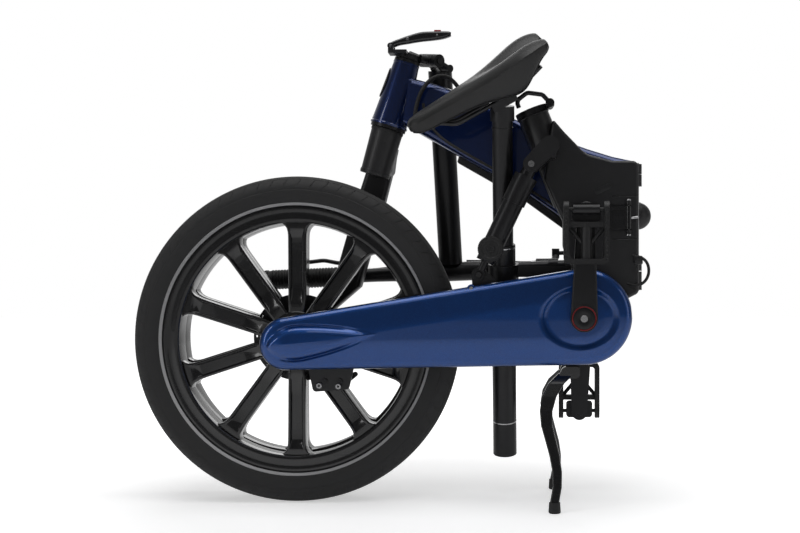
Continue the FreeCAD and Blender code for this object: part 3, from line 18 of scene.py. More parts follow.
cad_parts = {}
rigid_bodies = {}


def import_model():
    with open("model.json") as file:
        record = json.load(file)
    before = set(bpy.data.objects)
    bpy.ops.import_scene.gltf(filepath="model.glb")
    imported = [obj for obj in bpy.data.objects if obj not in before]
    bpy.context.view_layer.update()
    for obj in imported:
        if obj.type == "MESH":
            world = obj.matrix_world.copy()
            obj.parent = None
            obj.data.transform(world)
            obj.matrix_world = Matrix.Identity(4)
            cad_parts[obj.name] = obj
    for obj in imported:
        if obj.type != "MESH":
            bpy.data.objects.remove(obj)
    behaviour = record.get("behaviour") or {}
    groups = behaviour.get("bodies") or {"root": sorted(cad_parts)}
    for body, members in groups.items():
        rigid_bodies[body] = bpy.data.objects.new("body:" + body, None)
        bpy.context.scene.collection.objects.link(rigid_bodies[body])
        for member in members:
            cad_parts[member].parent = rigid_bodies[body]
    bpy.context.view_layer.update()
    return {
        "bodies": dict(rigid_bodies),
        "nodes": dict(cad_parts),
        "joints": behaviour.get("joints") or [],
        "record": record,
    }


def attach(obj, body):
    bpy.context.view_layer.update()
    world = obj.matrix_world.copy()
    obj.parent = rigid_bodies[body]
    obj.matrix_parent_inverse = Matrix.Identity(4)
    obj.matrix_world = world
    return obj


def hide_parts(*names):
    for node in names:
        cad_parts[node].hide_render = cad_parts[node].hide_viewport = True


LOG = logging.getLogger("bicycle")
MM = 0.001
Point = tuple[float, float, float]
SHIFT_X, SHIFT_Y = 7.0, -34.0
REAR_AXLE: Point = (-163.0, 0.0, 259.0)
FRONT_AXLE: Point = (-172.0, 62.0, 259.0)
CRANK = (292.0, 295.0)
HEAD_MIDDLE: Point = (-11.0, 62.0, 657.0)
HEAD_LEAN = math.radians(16.0)
SEAT_MOUTH: Point = (213.0, 0.0, 616.0)
SEAT_LEAN = math.radians(22.0)
STRUT_TOP: Point = (211.0, -47.0, 533.0)
STRUT_FOOT: Point = (129.0, -47.0, 361.0)
STEM_FOLD_PIN: Point = (60.5, 128.0, 573.0)
STEM_LATCH_PIN = (-18.0, 731.0)
Y_AXIS = (0.0, 1.0, 0.0)
STAY = (0.0, 0.0, 0.0)


def spot(x: float, y: float, z: float) -> Vector:
    """Turn a place in millimetres into the shared frame's metres.

    Args:
        x: Place along the wheels.
        y: Place across, from the rear wheel's mid plane.
        z: Height above the floor.

    Returns:
        The same place in metres in the shared frame.
    """
    return Vector(((x + SHIFT_X) * MM, (y + SHIFT_Y) * MM, z * MM))


# ------------------------------------------------------------------ shader groups
class NodeBench:
    """Small helper that adds and links nodes in one tree."""

    def __init__(self, tree: bpy.types.NodeTree) -> None:
        """Remember the tree to work in."""
        self.tree = tree

    def add(self, kind: str, **settings: object) -> bpy.types.Node:
        """Add a node and set its properties.

        Args:
            kind: Blender's node type name.
            **settings: Properties of the node, by name.

        Returns:
            The new node.
        """
        node = self.tree.nodes.new(kind)
        for key, value in settings.items():
            setattr(node, key, value)
        return node

    def join(self, source: bpy.types.NodeSocket, target: bpy.types.NodeSocket) -> None:
        """Link one socket to another."""
        self.tree.links.new(source, target)

    def math(self, operation: str, *values: object) -> bpy.types.NodeSocket:
        """Add a math node fed by sockets or numbers.

        Args:
            operation: Blender's name of the operation.
            *values: Sockets or plain numbers, in order.

        Returns:
            The node's result socket.
        """
        node = self.add("ShaderNodeMath", operation=operation)
        for index, value in enumerate(values):
            if isinstance(value, bpy.types.NodeSocket):
                self.join(value, node.inputs[index])
            else:
                node.inputs[index].default_value = float(value)
        return node.outputs[0]


class ShaderGroups:
    """Builds each shared shader group once."""

    NUMBER, VECTOR = "NodeSocketFloat", "NodeSocketVector"

    @classmethod
    def get(cls, name: str) -> bpy.types.NodeTree:
        """Return a group, made on first use.

        Args:
            name: One of "Skin grain", "Settled dust" and "Handling wear".

        Returns:
            The group's node tree.
        """
        held = bpy.data.node_groups.get(name)
        if held:
            return held
        inputs, outputs, fill = {
            "Skin grain": ((("Scale", 900.0), ("Pebble", 0.5)), ("Height", "Tone"), cls._grain),
            "Settled dust": ((("Amount", 0.05),), ("Mask",), cls._dust),
            "Handling wear": ((("Amount", 0.2),), ("Mask",), cls._wear)}[name]
        tree = bpy.data.node_groups.new(name, "ShaderNodeTree")
        tree.interface.new_socket("Vector", in_out="INPUT", socket_type=cls.VECTOR)
        for label, value in inputs:
            made = tree.interface.new_socket(label, in_out="INPUT", socket_type=cls.NUMBER)
            made.default_value = value
        for label in outputs:
            tree.interface.new_socket(label, in_out="OUTPUT", socket_type=cls.NUMBER)
        bench = NodeBench(tree)
        fill(bench, bench.add("NodeGroupInput").outputs, bench.add("NodeGroupOutput").inputs)
        return tree

    @staticmethod
    def _noise(bench: NodeBench, place: bpy.types.NodeSocket, scale: float,
               detail: float) -> bpy.types.NodeSocket:
        """Add a noise texture and return its factor."""
        noise = bench.add("ShaderNodeTexNoise")
        noise.inputs["Scale"].default_value = scale
        noise.inputs["Detail"].default_value = detail
        bench.join(place, noise.inputs["Vector"])
        return noise.outputs["Fac"]

    @classmethod
    def _grain(cls, bench: NodeBench, gate: bpy.types.NodeOutputs,
               out: bpy.types.NodeInputs) -> None:
        """Fine grain: cast, moulded or sprayed skin as a height."""
        fine = cls._noise(bench, gate["Vector"], 1.0, 4.0)
        cells = bench.add("ShaderNodeTexVoronoi", feature="SMOOTH_F1")
        bench.join(gate["Vector"], cells.inputs["Vector"])
        for node in (fine.node, cells):
            bench.join(gate["Scale"], node.inputs["Scale"])
        pebbles = bench.math("MULTIPLY", cells.outputs["Distance"], gate["Pebble"])
        bench.join(bench.math("ADD", fine, pebbles), out["Height"])
        bench.join(cls._noise(bench, gate["Vector"], 7.0, 3.0), out["Tone"])

    @classmethod
    def _dust(cls, bench: NodeBench, gate: bpy.types.NodeOutputs,
              out: bpy.types.NodeInputs) -> None:
        """Dust: more of it on faces that look up, broken by noise."""
        split = bench.add("ShaderNodeSeparateXYZ")
        bench.join(bench.add("ShaderNodeNewGeometry").outputs["Normal"], split.inputs[0])
        upward = bench.math("MAXIMUM", split.outputs["Z"], 0.12)
        mask = bench.math("MULTIPLY", upward, cls._noise(bench, gate["Vector"], 38.0, 6.0))
        bench.join(bench.math("MULTIPLY", mask, gate["Amount"]), out["Mask"])

    @classmethod
    def _wear(cls, bench: NodeBench, gate: bpy.types.NodeOutputs,
              out: bpy.types.NodeInputs) -> None:
        """Handling wear: faint long scratches and rubbed patches."""
        stretch = bench.add("ShaderNodeMapping")
        stretch.inputs["Scale"].default_value = (14.0, 60.0, 260.0)
        stretch.inputs["Rotation"].default_value = (0.3, 0.5, 0.9)
        bench.join(gate["Vector"], stretch.inputs["Vector"])
        lines = cls._noise(bench, stretch.outputs["Vector"], 1.0, 8.0)
        ramp = bench.add("ShaderNodeValToRGB")
        ramp.color_ramp.elements[0].position = 0.6
        ramp.color_ramp.elements[1].position = 0.74
        bench.join(lines, ramp.inputs["Fac"])
        bench.join(bench.math("MULTIPLY", ramp.outputs["Color"], gate["Amount"]), out["Mask"])


# ------------------------------------------------------------------ finishes
@dataclass(frozen=True)
class Finish:
    """One surface finish and how its colour, gloss and skin vary."""

    name: str
    colour: Point
    roughness: float
    metallic: float = 0.0
    coat: float = 0.0
    coat_roughness: float = 0.03
    grain_scale: float = 900.0
    grain_depth: float = 0.00004
    pebble: float = 0.5
    tone: float = 0.12
    dust: float = 0.03
    wear: float = 0.15
    flakes: float = 0.0

    def material(self) -> bpy.types.Material:
        """Return this finish's material, made on first use."""
        held = bpy.data.materials.get(self.name)
        return held if held else self._make()

    def _make(self) -> bpy.types.Material:
        """Build the node tree."""
        made = bpy.data.materials.new(self.name)
        made.use_nodes = True
        bench = NodeBench(made.node_tree)
        shader = made.node_tree.nodes["Principled BSDF"]
        shader.inputs["Coat Weight"].default_value = self.coat
        shader.inputs["Coat Roughness"].default_value = self.coat_roughness
        shader.inputs["Metallic"].default_value = self.metallic
        place = bench.add("ShaderNodeTexCoord").outputs["Object"]
        grain = self._group(bench, ShaderGroups.get("Skin grain"), place,
                            Scale=self.grain_scale, Pebble=self.pebble)
        dust = self._group(bench, ShaderGroups.get("Settled dust"), place, Amount=self.dust)
        wear = self._group(bench, ShaderGroups.get("Handling wear"), place, Amount=self.wear)
        colour = self._colour(bench, grain, dust, place)
        bench.join(colour, shader.inputs["Base Color"])
        rough = bench.math("MULTIPLY_ADD", grain.outputs["Tone"], self.tone, self.roughness
                           - self.tone * 0.5)
        rough = bench.math("ADD", rough, bench.math("MULTIPLY", dust.outputs["Mask"], 1.6))
        rough = bench.math("ADD", rough, bench.math("MULTIPLY", wear.outputs["Mask"], 0.35))
        bench.join(bench.math("MINIMUM", rough, 1.0), shader.inputs["Roughness"])
        bump = bench.add("ShaderNodeBump")
        bump.inputs["Distance"].default_value = self.grain_depth
        bump.inputs["Strength"].default_value = 1.0
        bench.join(grain.outputs["Height"], bump.inputs["Height"])
        bench.join(bump.outputs["Normal"], shader.inputs["Normal"])
        return made

    @staticmethod
    def _group(bench: NodeBench, tree: bpy.types.NodeTree, place: bpy.types.NodeSocket,
               **values: float) -> bpy.types.Node:
        """Place a shader group and set its named values."""
        node = bench.add("ShaderNodeGroup", node_tree=tree)
        bench.join(place, node.inputs["Vector"])
        for key, value in values.items():
            node.inputs[key].default_value = value
        return node

    def _colour(self, bench: NodeBench, grain: bpy.types.Node, dust: bpy.types.Node,
                place: bpy.types.NodeSocket) -> bpy.types.NodeSocket:
        """Mix the base colour with its variation, flakes and dust."""
        low = tuple(c * (1 - self.tone) for c in self.colour) + (1.0,)
        high = tuple(min(1.0, c * (1 + self.tone)) for c in self.colour) + (1.0,)
        tones = bench.add("ShaderNodeMix", data_type="RGBA")
        tones.inputs["A"].default_value = low
        tones.inputs["B"].default_value = high
        bench.join(grain.outputs["Tone"], tones.inputs["Factor"])
        result = tones.outputs["Result"]
        if self.flakes:
            cells = bench.add("ShaderNodeTexVoronoi")
            cells.inputs["Scale"].default_value = 2600.0
            bench.join(place, cells.inputs["Vector"])
            ramp = bench.add("ShaderNodeValToRGB")
            ramp.color_ramp.elements[0].position = 0.62
            ramp.color_ramp.elements[1].position = 1.0
            bench.join(cells.outputs["Color"], ramp.inputs["Fac"])
            sparkle = bench.add("ShaderNodeMix", data_type="RGBA")
            sparkle.inputs["B"].default_value = tuple(
                min(1.0, c * 2.6 + 0.02) for c in self.colour) + (1.0,)
            bench.join(bench.math("MULTIPLY", ramp.outputs["Color"], self.flakes),
                       sparkle.inputs["Factor"])
            bench.join(result, sparkle.inputs["A"])
            result = sparkle.outputs["Result"]
        soiled = bench.add("ShaderNodeMix", data_type="RGBA")
        soiled.inputs["B"].default_value = (0.24, 0.23, 0.21, 1.0)
        bench.join(dust.outputs["Mask"], soiled.inputs["Factor"])
        bench.join(result, soiled.inputs["A"])
        return soiled.outputs["Result"]


BLUE = Finish("blue metallic lacquer", (0.002, 0.05, 0.23), 0.36, metallic=0.8, coat=1.0,
              grain_scale=1500.0, grain_depth=0.00001, tone=0.1, flakes=0.5, dust=0.01)
DEEP_BLUE = Finish("deep blue lacquer", (0.003, 0.018, 0.10), 0.3, metallic=0.7, coat=1.0,
                   grain_scale=1500.0, grain_depth=0.00001, tone=0.1, flakes=0.4, dust=0.01)
CASTING = Finish("satin black casting", (0.010, 0.010, 0.0115), 0.42, coat=0.12,
                 coat_roughness=0.3, grain_scale=1400.0, grain_depth=0.00005, pebble=0.8)
GLOSS_BLACK = Finish("gloss black enamel", (0.005, 0.005, 0.006), 0.24, coat=0.6,
                     grain_depth=0.00001, tone=0.08, dust=0.02)
ANODISED = Finish("black anodised metal", (0.018, 0.018, 0.02), 0.34, metallic=0.35,
                  grain_scale=2200.0, grain_depth=0.00001)
STEEL = Finish("bright steel", (0.5, 0.5, 0.51), 0.26, metallic=1.0, grain_scale=1800.0,
               grain_depth=0.00001, tone=0.18)
DARK_STEEL = Finish("dark brake steel", (0.05, 0.05, 0.052), 0.36, metallic=0.8,
                    grain_scale=1600.0, grain_depth=0.00002)
TYRE = Finish("tyre rubber", (0.022, 0.022, 0.023), 0.7, grain_scale=700.0,
              grain_depth=0.00012, pebble=0.6, dust=0.09, wear=0.1)
REFLECTIVE = Finish("reflective grey line", (0.46, 0.46, 0.47), 0.45, grain_scale=1200.0,
                    grain_depth=0.00003)
RUBBER = Finish("black rubber", (0.014, 0.014, 0.015), 0.6, grain_scale=1300.0,
                grain_depth=0.00006, dust=0.05)
PLASTIC = Finish("textured black plastic", (0.014, 0.014, 0.015), 0.46, grain_scale=1100.0,
                 grain_depth=0.00006, pebble=0.9)
RED = Finish("red plastic", (0.42, 0.01, 0.018), 0.35, coat=0.3, grain_depth=0.00002)
SADDLE_SKIN = Finish("saddle cover", (0.006, 0.006, 0.0065), 0.42, coat=0.1,
                     coat_roughness=0.4, grain_scale=620.0, grain_depth=0.00012, pebble=1.2,
                     dust=0.03)


class NodeFinishes:
    """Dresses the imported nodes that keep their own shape."""

    NODES: tuple[tuple[Finish, str], ...] = (
        (CASTING, "main_frame mating_frame crank_shell front_hinge_lugs post_dock "
                  "chaincase_inner fork stem_hinge_block"),
        (ANODISED, "crank_bearings seat_clamp_band rear_caliper crank_arm_right crank_arm_left "
                   "pedal_knuckle_right pedal_knuckle_left shock_body shock_rod seatpost_lower "
                   "seatpost_upper seat_clamp_head seat_clamp_lever headset_cups stem handlebar "
                   "brake_clamps brake_lever_left brake_lever_right"),
        (STEEL, "frame_pins rear_axle crank_spindle front_axle"),
        (DARK_STEEL, "chain rear_sprocket chainring saddle_rails rear_brake_disc "
                     "front_brake_disc"),
        (PLASTIC, "pedal_right pedal_left shock_knob lower_trim battery"),
        (RUBBER, "head_hose kickstand_feet grips"),
        (GLOSS_BLACK, "kickstand_legs frame_latch_lever stem_latch_lever rear_rim front_rim "
                      "rear_spokes front_spokes rear_hub front_hub"),
        (TYRE, "rear_tyre front_tyre"), (BLUE, "chaincase_cover"), (DEEP_BLUE, "front_frame"),
        (SADDLE_SKIN, "saddle"), (RED, "stem_latch_catch"))

    def dress(self, nodes: dict[str, bpy.types.Object]) -> None:
        """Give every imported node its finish.

        Args:
            nodes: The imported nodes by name.
        """
        finishes = {name: finish for finish, names in self.NODES for name in names.split()}
        for name, node in nodes.items():
            node.data.materials.clear()
            node.data.materials.append(finishes[name].material())
            LOG.info("dressed %s in %s", name, finishes[name].name)


# ------------------------------------------------------------------ mesh tools
class Shade(Enum):
    """How a piece's faces are shaded."""

    SMOOTH = "smooth"
    CREASED = "creased"


def link(obj: bpy.types.Object) -> bpy.types.Object:
    """Put an object in the scene."""
    bpy.context.scene.collection.objects.link(obj)
    return obj


def shell(name: str, rings: Sequence[Sequence[Vector]], closed: bool = False,
          caps: bool = True, wrap: bool = True) -> bpy.types.Object:
    """Make a skin over rings of points.

    Args:
        name: The piece's name.
        rings: Rings with the same number of points, in order.
        closed: True when the last ring joins the first.
        caps: True to fill both end rings.
        wrap: True when each ring is a closed loop.

    Returns:
        The new mesh object.
    """
    work = bmesh.new()
    rows = [[work.verts.new(p) for p in ring] for ring in rings]
    count = len(rows[0])
    for index in range(len(rows) if closed else len(rows) - 1):
        here, there = rows[index], rows[(index + 1) % len(rows)]
        for step in range(count if wrap else count - 1):
            after = (step + 1) % count
            work.faces.new((here[step], here[after], there[after], there[step]))
    if caps and not closed:
        work.faces.new(rows[0])
        work.faces.new(list(reversed(rows[-1])))
    bmesh.ops.remove_doubles(work, verts=work.verts, dist=1e-6)
    bmesh.ops.recalc_face_normals(work, faces=work.faces)
    mesh = bpy.data.meshes.new(name)
    work.to_mesh(mesh)
    work.free()
    return link(bpy.data.objects.new(name, mesh))


def turned(name: str, profile: Sequence[tuple[float, float]], centre: Vector, axis: Vector,
           steps: int = 64, closed: bool = True) -> bpy.types.Object:
    """Turn a profile round an axis, as a lathe does.

    Args:
        name: The piece's name.
        profile: Points (along the axis, radius) in millimetres.
        centre: The axis's zero point in metres.
        axis: The axis's direction.
        steps: How many facets round.
        closed: True when the profile is a closed loop, False when its ends touch the axis.

    Returns:
        The new mesh object.
    """
    along = axis.normalized()
    side = along.orthogonal().normalized()
    up = along.cross(side)
    rings = []
    for step in range(steps):
        angle = 2 * math.pi * step / steps
        out = side * math.cos(angle) + up * math.sin(angle)
        rings.append([centre + along * (a * MM) + out * (r * MM) for a, r in profile])
    return shell(name, rings, closed=True, wrap=closed)


def tube(name: str, points: Sequence[Vector], radius: float, order: int = 3,
         sides: int = 5) -> bpy.types.Object:
    """Make a round tube along a smooth curve.

    Args:
        name: The piece's name.
        points: Control points in metres.
        radius: The tube's radius in millimetres.
        order: The spline's order; 2 gives straight runs.
        sides: Half of the tube's facets less one.

    Returns:
        The new mesh object.
    """
    data = bpy.data.curves.new(name, "CURVE")
    data.dimensions = "3D"
    data.bevel_depth = radius * MM
    data.bevel_resolution = sides
    data.use_fill_caps = True
    data.resolution_u = 10
    line = data.splines.new("NURBS")
    line.points.add(len(points) - 1)
    for held, point in zip(line.points, points):
        held.co = (*point, 1.0)
    line.use_endpoint_u = True
    line.order_u = order
    rough = link(bpy.data.objects.new(name, data))
    return settle(rough)


def settle(rough: bpy.types.Object) -> bpy.types.Object:
    """Turn an object with live modifiers or a curve into a plain mesh object."""
    bpy.context.view_layer.update()
    graph = bpy.context.evaluated_depsgraph_get()
    mesh = bpy.data.meshes.new_from_object(rough.evaluated_get(graph))
    name = rough.name
    bpy.data.objects.remove(rough)
    mesh.name = name
    return link(bpy.data.objects.new(name, mesh))


def soften(piece: bpy.types.Object, width: float, segments: int = 2,
           subdivide: int = 0) -> bpy.types.Object:
    """Round a piece's edges and, where asked, subdivide it.

    Args:
        piece: The piece to finish.
        width: The bevel's width in millimetres, or 0 for none.
        segments: How many facets each rounded edge has.
        subdivide: Levels of subdivision.

    Returns:
        The finished piece as a plain mesh.
    """
    if width:
        bevel = piece.modifiers.new("edges", "BEVEL")
        bevel.width = width * MM
        bevel.segments = segments
        bevel.limit_method = "ANGLE"
        bevel.angle_limit = math.radians(35)
    if subdivide:
        smooth = piece.modifiers.new("skin", "SUBSURF")
        smooth.levels = subdivide
        smooth.render_levels = subdivide
    return settle(piece)


def joined(name: str, pieces: Sequence[bpy.types.Object]) -> bpy.types.Object:
    """Gather several mesh objects into one, keeping their materials.

    Args:
        name: The name of the result.
        pieces: The pieces to gather; they are removed.

    Returns:
        The one mesh object.
    """
    work = bmesh.new()
    finishes: list[bpy.types.Material] = []
    for piece in pieces:
        start = len(work.faces)
        work.from_mesh(piece.data)
        work.faces.ensure_lookup_table()
        offsets = []
        for material in piece.data.materials:
            if material not in finishes:
                finishes.append(material)
            offsets.append(finishes.index(material))
        for face in work.faces[start:]:
            face.material_index = offsets[face.material_index] if offsets else 0
        bpy.data.objects.remove(piece)
    mesh = bpy.data.meshes.new(name)
    work.to_mesh(mesh)
    work.free()
    for material in finishes:
        mesh.materials.append(material)
    return link(bpy.data.objects.new(name, mesh))


def fit_out(piece: bpy.types.Object, finish: Finish, body: str,
            replaces: Sequence[str] = (), shade: Shade = Shade.CREASED) -> bpy.types.Object:
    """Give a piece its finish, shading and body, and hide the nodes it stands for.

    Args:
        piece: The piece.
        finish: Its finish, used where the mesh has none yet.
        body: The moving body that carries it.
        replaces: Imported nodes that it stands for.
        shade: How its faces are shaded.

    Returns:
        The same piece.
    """
    if not piece.data.materials:
        piece.data.materials.append(finish.material())
    piece.data.shade_smooth()
    if shade is Shade.CREASED:
        piece.data.set_sharp_from_angle(angle=math.radians(34))
    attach(piece, body)
    if replaces:
        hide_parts(*replaces)
    LOG.info("built %s on %s", piece.name, body)
    return piece


def paint(piece: bpy.types.Object, finish: Finish) -> bpy.types.Object:
    """Give a whole piece one finish before it is joined to others."""
    piece.data.materials.clear()
    piece.data.materials.append(finish.material())
    return piece


def bar(name: str, start: Vector, end: Vector, radius: float, tip: float = 0.0,
        steps: int = 32) -> bpy.types.Object:
    """Make a round bar with chamfered ends.

    Args:
        name: The piece's name.
        start: One end in metres.
        end: The other end in metres.
        radius: Its radius in millimetres.
        tip: Its radius at the far end, or 0 for the same.
        steps: How many facets round.

    Returns:
        The new mesh object.
    """
    far = tip or radius
    length = (end - start).length / MM
    cut = min(radius, far) * 0.12
    profile = [(0.0, 0.0), (0.0, radius - cut), (cut, radius), (length - cut, far),
               (length, far - cut), (length, 0.0)]
    return turned(name, profile, start, end - start, steps, closed=False)


def block(name: str, corner: Vector, opposite: Vector, rounding: float = 1.0,
          segments: int = 2) -> bpy.types.Object:
    """Make a box with rounded edges between two corners.

    Args:
        name: The piece's name.
        corner: One corner in metres.
        opposite: The other corner in metres.
        rounding: The edge radius in millimetres.
        segments: Facets over each edge.

    Returns:
        The new mesh object.
    """
    xs, ys, zs = zip(corner, opposite)
    low, high = min(zs), max(zs)
    base = [(min(xs), min(ys)), (max(xs), min(ys)), (max(xs), max(ys)), (min(xs), max(ys))]
    rings = [[Vector((x, y, z)) for x, y in base] for z in (low, high)]
    return soften(shell(name, rings), rounding, segments)


def plate(name: str, corners: Sequence[tuple[float, float]], y_from: float, y_to: float,
          rounding: float = 1.0, segments: int = 2) -> bpy.types.Object:
    """Make a plate with an outline in the side view.

    Args:
        name: The piece's name.
        corners: Outline points (x, z) in millimetres.
        y_from: The near face in millimetres.
        y_to: The far face in millimetres.
        rounding: The edge radius in millimetres.
        segments: Facets over each edge.

    Returns:
        The new mesh object.
    """
    rings = [[spot(x, y, z) for x, z in corners] for y in (y_from, y_to)]
    return soften(shell(name, rings), rounding, segments)


# ------------------------------------------------------------------ repeats
class Repeater:
    """Repeats a small mesh along a row or round a ring with Geometry Nodes."""

    _tree: bpy.types.NodeTree | None = None

    @classmethod
    def tree(cls) -> bpy.types.NodeTree:
        """Return the repeat tree, built once."""
        if cls._tree:
            return cls._tree
        tree = bpy.data.node_groups.new("Repeat in place", "GeometryNodeTree")
        face = tree.interface
        face.new_socket("Geometry", in_out="INPUT", socket_type="NodeSocketGeometry")
        for label, kind in (("Count", "NodeSocketInt"), ("Turn", "NodeSocketVector"),
                            ("Step", "NodeSocketVector"), ("Centre", "NodeSocketVector"),
                            ("Finish", "NodeSocketMaterial")):
            face.new_socket(label, in_out="INPUT", socket_type=kind)
        face.new_socket("Geometry", in_out="OUTPUT", socket_type="NodeSocketGeometry")
        bench = NodeBench(tree)
        gate = bench.add("NodeGroupInput")
        out = bench.add("NodeGroupOutput")
        points = bench.add("GeometryNodePoints")
        bench.join(gate.outputs["Count"], points.inputs["Count"])
        index = bench.add("GeometryNodeInputIndex").outputs[0]
        turn = bench.add("ShaderNodeVectorMath", operation="SCALE")
        step = bench.add("ShaderNodeVectorMath", operation="SCALE")
        for node, label in ((turn, "Turn"), (step, "Step")):
            bench.join(gate.outputs[label], node.inputs[0])
            bench.join(index, node.inputs["Scale"])
        total = bench.add("ShaderNodeVectorMath", operation="ADD")
        bench.join(step.outputs["Vector"], total.inputs[0])
        bench.join(gate.outputs["Centre"], total.inputs[1])
        moved = bench.add("GeometryNodeSetPosition")
        bench.join(points.outputs[0], moved.inputs["Geometry"])
        bench.join(total.outputs["Vector"], moved.inputs["Position"])
        placed = bench.add("GeometryNodeInstanceOnPoints")
        bench.join(moved.outputs[0], placed.inputs["Points"])
        bench.join(gate.outputs["Geometry"], placed.inputs["Instance"])
        bench.join(turn.outputs["Vector"], placed.inputs["Rotation"])
        real = bench.add("GeometryNodeRealizeInstances")
        bench.join(placed.outputs[0], real.inputs[0])
        finish = bench.add("GeometryNodeSetMaterial")
        bench.join(real.outputs[0], finish.inputs["Geometry"])
        bench.join(gate.outputs["Finish"], finish.inputs["Material"])
        bench.join(finish.outputs[0], out.inputs["Geometry"])
        cls._tree = tree
        return tree

    @classmethod
    def repeat(cls, template: bpy.types.Object, count: int, turn: Point, step: Vector,
               centre: Vector, finish: Finish) -> bpy.types.Object:
        """Repeat a template that is modelled round the origin.

        Args:
            template: The small mesh; it is used up.
            count: How many copies.
            turn: Turn added for each copy, in degrees about X, Y and Z.
            step: Move added for each copy, in metres.
            centre: Where the first copy's origin goes.
            finish: The finish of every copy.

        Returns:
            One plain mesh object with all the copies.
        """
        modifier = template.modifiers.new("repeat", "NODES")
        modifier.node_group = cls.tree()
        values = {"Count": count, "Turn": [math.radians(a) for a in turn], "Step": list(step),
                  "Centre": list(centre), "Finish": finish.material()}
        for item in cls.tree().interface.items_tree:
            if item.in_out == "INPUT" and item.name in values:
                modifier[item.identifier] = values[item.name]
        return settle(template)


# ------------------------------------------------------------------ shaping helpers
def through(stations: Sequence[Sequence[float]], steps: int) -> list[tuple[float, ...]]:
    """Run a smooth curve through stations of values.

    Args:
        stations: Rows of numbers, in order.
        steps: How many new rows for each gap.

    Returns:
        The stations with smooth rows between them.
    """
    rows: list[tuple[float, ...]] = []
    last = len(stations) - 1
    for index in range(last):
        around = [stations[min(max(index + k, 0), last)] for k in (-1, 0, 1, 2)]
        for step in range(steps):
            t = step / steps
            rows.append(tuple(
                b + 0.5 * t * ((c - a) + t * ((2 * a - 5 * b + 4 * c - d)
                                              + t * (3 * b - a - 3 * c + d)))
                for a, b, c, d in zip(*around)))
    rows.append(tuple(stations[last]))
    return rows


def rounded_loop(low: Sequence[float], high: Sequence[float], radius: float,
                 steps: int = 6) -> list[tuple[float, float]]:
    """Points round a rectangle with rounded corners.

    Args:
        low: The lower corner.
        high: The upper corner.
        radius: The corner radius.
        steps: Facets at each corner.

    Returns:
        The loop's points, anticlockwise.
    """
    radius = min(radius, (high[0] - low[0]) / 2.01, (high[1] - low[1]) / 2.01)
    hubs = ((high[0] - radius, low[1] + radius, -90), (high[0] - radius, high[1] - radius, 0),
            (low[0] + radius, high[1] - radius, 90), (low[0] + radius, low[1] + radius, 180))
    points = []
    for a, b, start in hubs:
        for step in range(steps + 1):
            angle = math.radians(start + 90.0 * step / steps)
            points.append((a + radius * math.cos(angle), b + radius * math.sin(angle)))
    return points


def ramp(value: float, low: float, high: float) -> float:
    """Rise smoothly from 0 at low to 1 at high."""
    t = min(1.0, max(0.0, (value - low) / (high - low)))
    return t * t * (3.0 - 2.0 * t)


@dataclass(frozen=True)
class Capsule:
    """Outline of two circles joined by their outer tangents, in the side view."""

    tail: tuple[float, float]
    tail_radius: float
    head: tuple[float, float]
    head_radius: float

    @property
    def length(self) -> float:
        """Distance between the two centres."""
        return math.dist(self.tail, self.head)

    def place(self, along: float, across: float) -> tuple[float, float]:
        """Turn capsule coordinates into x and z."""
        ux = (self.head[0] - self.tail[0]) / self.length
        uz = (self.head[1] - self.tail[1]) / self.length
        return (self.tail[0] + ux * along - uz * across, self.tail[1] + uz * along + ux * across)

    def outside(self, x: float, z: float) -> float:
        """Signed distance from the outline, negative inside."""
        ux = (self.head[0] - self.tail[0]) / self.length
        uz = (self.head[1] - self.tail[1]) / self.length
        dx, dz = x - self.tail[0], z - self.tail[1]
        along, across = dx * ux + dz * uz, abs(dz * ux - dx * uz)
        taper = (self.tail_radius - self.head_radius) / self.length
        cosine = math.sqrt(1.0 - taper * taper)
        reach = along * cosine - across * taper
        if reach < 0.0:
            return math.hypot(along, across) - self.tail_radius
        if reach > cosine * self.length:
            return math.hypot(along - self.length, across) - self.head_radius
        return across * cosine + along * taper - self.tail_radius

    def half_width(self, along: float) -> float:
        """Half the outline's width at a place along it."""
        taper = (self.tail_radius - self.head_radius) / self.length
        cosine = math.sqrt(1.0 - taper * taper)
        if along < self.tail_radius * taper:
            return math.sqrt(max(self.tail_radius ** 2 - along ** 2, 0.0))
        if along > self.length + self.head_radius * taper:
            return math.sqrt(max(self.head_radius ** 2 - (along - self.length) ** 2, 0.0))
        return (self.tail_radius - along * taper) / cosine


@dataclass(frozen=True)
class Leaf:
    """Outline that is round at its start and comes to a point at its tip."""

    start: tuple[float, float]
    tip: tuple[float, float]
    half: float

    def inside(self, x: float, z: float) -> tuple[float, float]:
        """Depth inside the leaf's edge, and how far along it the spot lies (0 to 1)."""
        length = math.dist(self.start, self.tip)
        ux = (self.tip[0] - self.start[0]) / length
        uz = (self.tip[1] - self.start[1]) / length
        dx, dz = x - self.start[0], z - self.start[1]
        along, across = (dx * ux + dz * uz) / length, abs(dz * ux - dx * uz)
        if along <= 0.0 or along >= 1.0:
            return -max(-along, along - 1.0) * length - across, along
        nose = 1.0 - min(along / 0.3, 1.0)
        wide = self.half * (1.0 - along ** 2.3) * math.sqrt(1.0 - nose * nose)
        return wide - across, along


